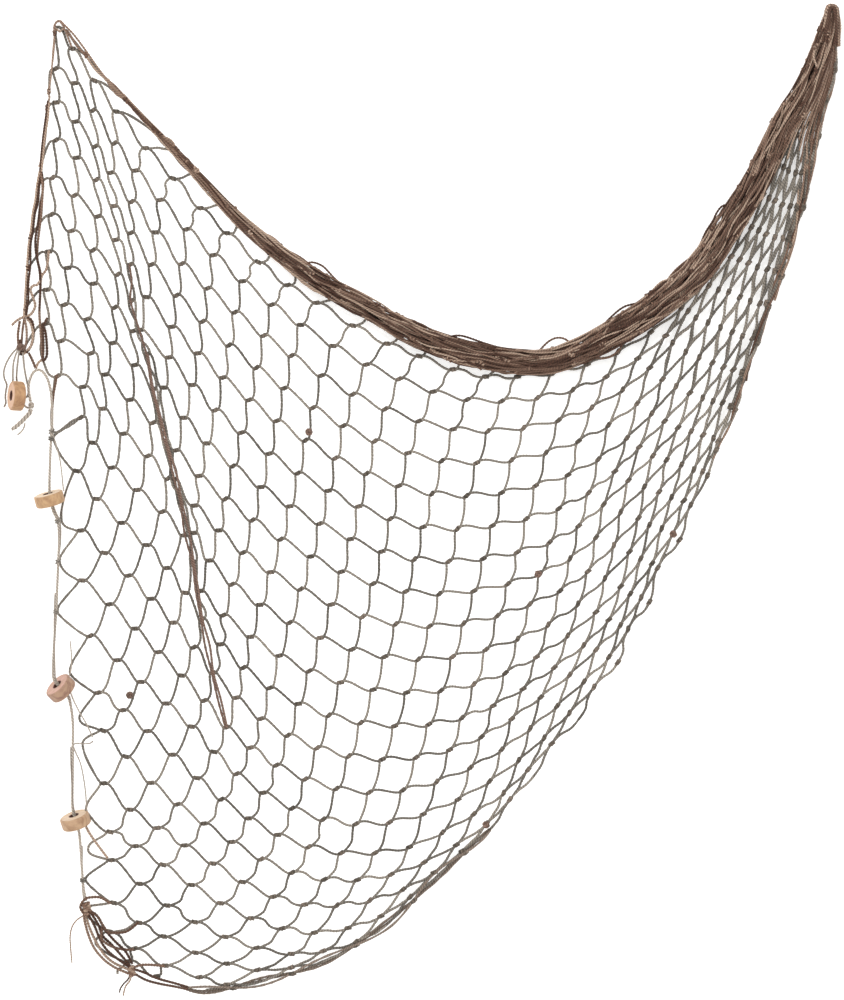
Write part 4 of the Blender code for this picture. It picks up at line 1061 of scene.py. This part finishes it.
def wound(centre, size, turns, start):
    """A twine wound over an ellipsoid, tilted to and fro."""
    t = np.linspace(0.0, 1.0, int(26 * turns))
    polar = math.pi * (0.5 + 0.36 * np.sin(2 * math.pi * (1.5 * t + start)))
    spin = 2 * math.pi * (turns * t + start)
    shape = np.stack([np.sin(polar) * np.cos(spin), np.sin(polar) * np.sin(spin), np.cos(polar)], axis=-1)
    return np.asarray(centre) + shape * np.asarray(size)


def build_tied_knots(materials):
    for name, (centre, size, turns, kind) in TIED_KNOTS.items():
        tubes = Tubes()
        twine = LINE * 0.8 if kind == "line" else TWINE
        inner = np.asarray(size) - twine
        for start in (0.1, 0.6):
            tubes.add(wound(centre, inner, turns, start), twine, sides=8)
        tubes.add(wound(centre, inner * 0.55, turns, 0.3), twine * 1.3, sides=8)
        piece = tubes.build(name + "_turns", materials[kind])
        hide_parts(name)


def add_routes(tubes, routes, radius, sides):
    """One tube along each route of a table."""
    for route in routes:
        tubes.add(smooth(route, 14 * len(route)), radius, sides=sides)


def build_hitches(net, materials):
    """Turns of the net's edge twine round the float line, and the thin second line."""
    b = np.arange(6, 18)
    spots = net.knots(b + LINE_LEVEL, b)
    line = smooth(FLOAT_LINE, 500)
    tubes = Tubes()
    for k, spot in enumerate(spots):
        gaps = np.linalg.norm((line - spot)[:, [0, 2]], axis=1)
        if gaps.min() > HITCH_REACH:
            continue
        near = min(max(int(gaps.argmin()), 6), len(line) - 7)
        along = unit(line[near + 4] - line[near - 4])
        side = unit(np.cross(along, TO_WALL))
        front = np.cross(side, along)
        t = np.linspace(0.0, 1.0, 34)
        angle = 2 * math.pi * (1.7 + 0.4 * depth_shift(k, 7)) * t
        reach = LINE + 0.8 * TWINE
        tubes.add(line[near] + along * (0.006 * (t - 0.5))[:, None]
                  + reach * np.cos(angle)[:, None] * side + reach * np.sin(angle)[:, None] * front,
                  TWINE * 0.65, sides=7)
    tubes.build("line_hitches", materials["twine"])
    thin = line[130:].copy()
    run = np.linspace(0.0, 1.0, len(thin))
    thin[:, 0] += 0.0030 * np.sin(run * 17.0)
    thin[:, 1] -= 0.0030 * np.cos(run * 17.0)
    tubes = Tubes()
    for first, last in ((0, 66), (98, 212), (236, 300), (322, len(thin))):
        tubes.add(thin[first:last], THIN_LINE, sides=7)
    add_routes(tubes, THIN_LINES, THIN_LINE, 7)
    tubes.build("second_line", materials["line"])


def build_strands(materials):
    tubes = Tubes()
    add_routes(tubes, LEFT_BUNCH_STRANDS, TWINE, 8)
    thick = [[(x, THICK_STRAND_DEPTH, z) for x, z in route] for route in THICK_STRANDS]
    add_routes(tubes, thick, TWINE * 0.9, 7)
    tubes.build("left_bunch_strands", materials["bundle"])
    tubes = Tubes()
    add_routes(tubes, CORNER_STRANDS, TWINE, 8)
    tubes.build("corner_strands", materials["bundle"])
    tubes = Tubes()
    for k, spot in enumerate(SPLICES):
        for start in (0.1, 0.6):
            tubes.add(wound(spot, (0.0042, 0.0030, 0.0042), 2.5, start + 0.13 * k), TWINE * 0.8, sides=7)
    tubes.build("splices", materials["stained"])
    tubes = Tubes()
    add_routes(tubes, STRAY_LOOPS, TWINE * 0.8, 8)
    tubes.build("stray_loops", materials["bundle"])


def build_bundle_strands(net, materials):
    """Long twines side by side along the gathered edge and between it and the right-hand edge."""
    tubes = Tubes()
    for k in range(BUNDLE_STRANDS):
        first = -9.0 + 7.0 * (0.37 * k % 1.0) + 6.0 * (k % 3)
        level = np.linspace(first, min(first + 14.0 + 8.0 * (0.61 * k % 1.0), 19.9), 120)
        across = 1.9 * (0.618 * k % 1.0) - 0.95
        across = across + 0.24 * np.sin(0.62 * level + 1.9 * k) + 0.11 * np.sin(2.1 * level + 2.7 * k)
        across = np.clip(across + 0.05 * np.sin(5.3 * level + 1.3 * k), -0.90, 0.90)
        inward = -0.80 * np.sqrt(1.0 - np.clip(across, -0.95, 0.95) ** 2) + 0.22 * np.sin(1.3 * level + k)
        tubes.add(net.rope.place(level, across, inward), BUNDLE_STRAND, sides=6, relief=0.2)
    tubes.build("bundle_strands", materials["bundle"])
    tubes = Tubes()
    for k in range(FAN_STRANDS):
        level = np.linspace(15.2 + 2.4 * (0.618 * k % 1.0), 19.9, 60)
        share = (k + 0.5) / FAN_STRANDS + 0.06 * np.sin(1.9 * level + 2.3 * k)
        flat = net.on_edge(level)[0]
        outer = in_space(flat, net.lattice.depth(flat))
        path = net.rope.place(level, -0.7 + 0.0 * level, -0.6 + 0.0 * level) * (1.0 - share)[:, None]
        tubes.add(path + outer * share[:, None], BUNDLE_STRAND, sides=6, relief=0.2)
    tubes.build("fan_strands", materials["bundle"])


def build_tip(materials):
    """Strands that pass over the right-hand hook, and a near-black core in the bundle: painted shade that
    gives the gaps between its strands the look of shade.
    """
    tubes = Tubes()
    for k in range(HOOK_STRANDS):
        share = k / (HOOK_STRANDS - 1)
        depth = -0.011 + 0.020 * share
        swell = math.sin(math.pi * (0.12 + 0.76 * share))
        top = 0.0015 + 0.0085 * swell
        route = [(-0.017 * swell - 0.002, depth, -0.046), (-0.0105 * swell - 0.001, depth, -0.016),
                 (-0.0055 * swell + 0.002, depth * 0.9, top - 0.003), (0.003, depth * 0.8, top),
                 (0.0075 * swell + 0.003, depth * 0.9, top - 0.005), (0.0105 * swell + 0.003, depth, -0.020),
                 (0.0105 * swell + 0.002, depth, -0.050)]
        route = [(x + 0.0012 * math.sin(5 * k + 9 * n), y, z) for n, (x, y, z) in enumerate(route)]
        tubes.add(smooth(route, 80), TWINE, sides=8)
    tubes.build("hook_strands", materials["bundle"])
    # Painted shade: a near-black tube inside the bundle, so that the gaps between its strands look shaded.
    rope = smooth(BUNDLE[5:], 160)
    core = np.stack([rope[:, 0], np.full(160, 0.004), rope[:, 1]], axis=-1)
    tubes = Tubes()
    tubes.add(core, rope[:, 2] * SHADE_CORE_SHARE, sides=14, relief=0.0)
    tubes.build("bundle_shade_core", materials["shade_core"])


# ---------------------------------------------------------------- camera, light and stage
def build_stage():
    wall_mesh = bpy.data.meshes.new("wall")
    wall_mesh.from_pydata([(-3.5, WALL_DEPTH, FLOOR_HEIGHT), (2.5, WALL_DEPTH, FLOOR_HEIGHT),
                           (2.5, WALL_DEPTH, 1.6), (-3.5, WALL_DEPTH, 1.6)], [], [(0, 1, 2, 3)])
    wall = link_object("wall", wall_mesh)
    made, nodes, links = new_material("wall_paint")
    shader = nodes["Principled BSDF"]
    shader.inputs["Base Color"].default_value = (0.90, 0.90, 0.89, 1.0)
    shader.inputs["Roughness"].default_value = 1.0
    shader.inputs["Emission Color"].default_value = (1.0, 1.0, 1.0, 1.0)
    shader.inputs["Emission Strength"].default_value = 0.42
    clear = nodes.new("ShaderNodeBsdfTransparent")
    side = nodes.new("ShaderNodeNewGeometry")
    ray = nodes.new("ShaderNodeLightPath")
    both = nodes.new("ShaderNodeMath")
    both.operation = "MULTIPLY"
    links.new(side.outputs["Backfacing"], both.inputs[0])
    links.new(ray.outputs["Is Camera Ray"], both.inputs[1])
    mix = nodes.new("ShaderNodeMixShader")
    links.new(both.outputs["Value"], mix.inputs["Fac"])
    links.new(shader.outputs["BSDF"], mix.inputs[1])
    links.new(clear.outputs["BSDF"], mix.inputs[2])
    links.new(mix.outputs["Shader"], nodes["Material Output"].inputs["Surface"])
    wall_mesh.materials.append(made)

    floor_mesh = bpy.data.meshes.new("floor")
    floor_mesh.from_pydata([(-5, -4, FLOOR_HEIGHT), (4, -4, FLOOR_HEIGHT), (4, 4, FLOOR_HEIGHT),
                            (-5, 4, FLOOR_HEIGHT)], [], [(0, 1, 2, 3)])
    floor = link_object("floor", floor_mesh)
    made, nodes, _ = new_material("floor_paint")
    nodes["Principled BSDF"].inputs["Base Color"].default_value = (0.86, 0.86, 0.85, 1.0)
    nodes["Principled BSDF"].inputs["Roughness"].default_value = 0.9
    floor_mesh.materials.append(made)


def add_area_light(name, place, target, size, power):
    data = bpy.data.lights.new(name, "AREA")
    data.shape = "DISK"
    data.size = size
    data.energy = power
    light = link_object(name, data)
    light.location = place
    light.rotation_euler = (Vector(target) - Vector(place)).to_track_quat("-Z", "Y").to_euler()


def build_light():
    world = bpy.data.worlds.new("studio")
    world.use_nodes = True
    world.node_tree.nodes["Background"].inputs["Color"].default_value = (1.0, 1.0, 1.0, 1.0)
    world.node_tree.nodes["Background"].inputs["Strength"].default_value = 1.15
    bpy.context.scene.world = world
    add_area_light("key", (-1.3, -2.6, 0.9), (-0.6, 0.0, -0.7), 0.6, 26.0)
    bpy.context.scene.view_settings.view_transform = "Standard"


def build_camera():
    data = bpy.data.cameras.new("camera")
    data.lens = 100.0
    data.sensor_width = 36.0
    camera = link_object("camera", data)
    camera.location = (-0.5957, -VIEW_HEIGHT * data.lens / data.sensor_width, -0.7125)
    camera.rotation_euler = (math.pi / 2, 0.0, 0.0)
    bpy.context.scene.camera = camera


def main():
    build_camera()
    build_light()
    build_stage()
    materials = {
        "twine": twine_material("net_twine",
            [(0.100, 0.087, 0.072), (0.175, 0.153, 0.127), (0.27, 0.235, 0.195)]),
        "knot": twine_material("net_knot",
            [(0.065, 0.051, 0.037), (0.105, 0.083, 0.062), (0.17, 0.13, 0.10)]),
        "edge": twine_material("edge_twine",
            [(0.075, 0.052, 0.036), (0.14, 0.103, 0.077), (0.25, 0.19, 0.15)]),
        "stained": twine_material("stained_twine",
            [(0.08, 0.047, 0.033), (0.13, 0.075, 0.053), (0.20, 0.12, 0.09)]),
        "bundle": twine_material("net_bundle",
            [(0.055, 0.021, 0.010), (0.18, 0.104, 0.070), (0.38, 0.27, 0.20)],
            spread=0.7, sheen=0.0),
        # painted shade: near-black colours for the core inside the bundle
        "shade_core": twine_material("bundle_shade_core",
            [(0.030, 0.011, 0.005), (0.04, 0.016, 0.008)], sheen=0.0),
        "line": twine_material("line_cord",
            [(0.23, 0.19, 0.155), (0.32, 0.27, 0.225), (0.43, 0.37, 0.31)], plies=3),
    }
    # Painted shade: near-black wood for the inside of each float's bore, where shade falls.
    materials["hole"] = wood_material("float_hole", (0.11, 0.040, 0.025), (0.06, 0.020, 0.012))
    net = Net()
    build_net(net, materials)
    build_bundle_strands(net, materials)
    build_tip(materials)
    for name, (centre, facing) in FLOATS.items():
        side, dark, face = FLOAT_WOOD[name]
        # the faces' lighter wood is partly the float's own and partly painted light
        build_float(name, centre, facing, wood_material(name + "_side", side, dark),
                    wood_material(name + "_face_painted_light", face, side), materials["hole"])
    build_cords(materials)
    build_tied_knots(materials)
    build_hitches(net, materials)
    build_strands(materials)


main()
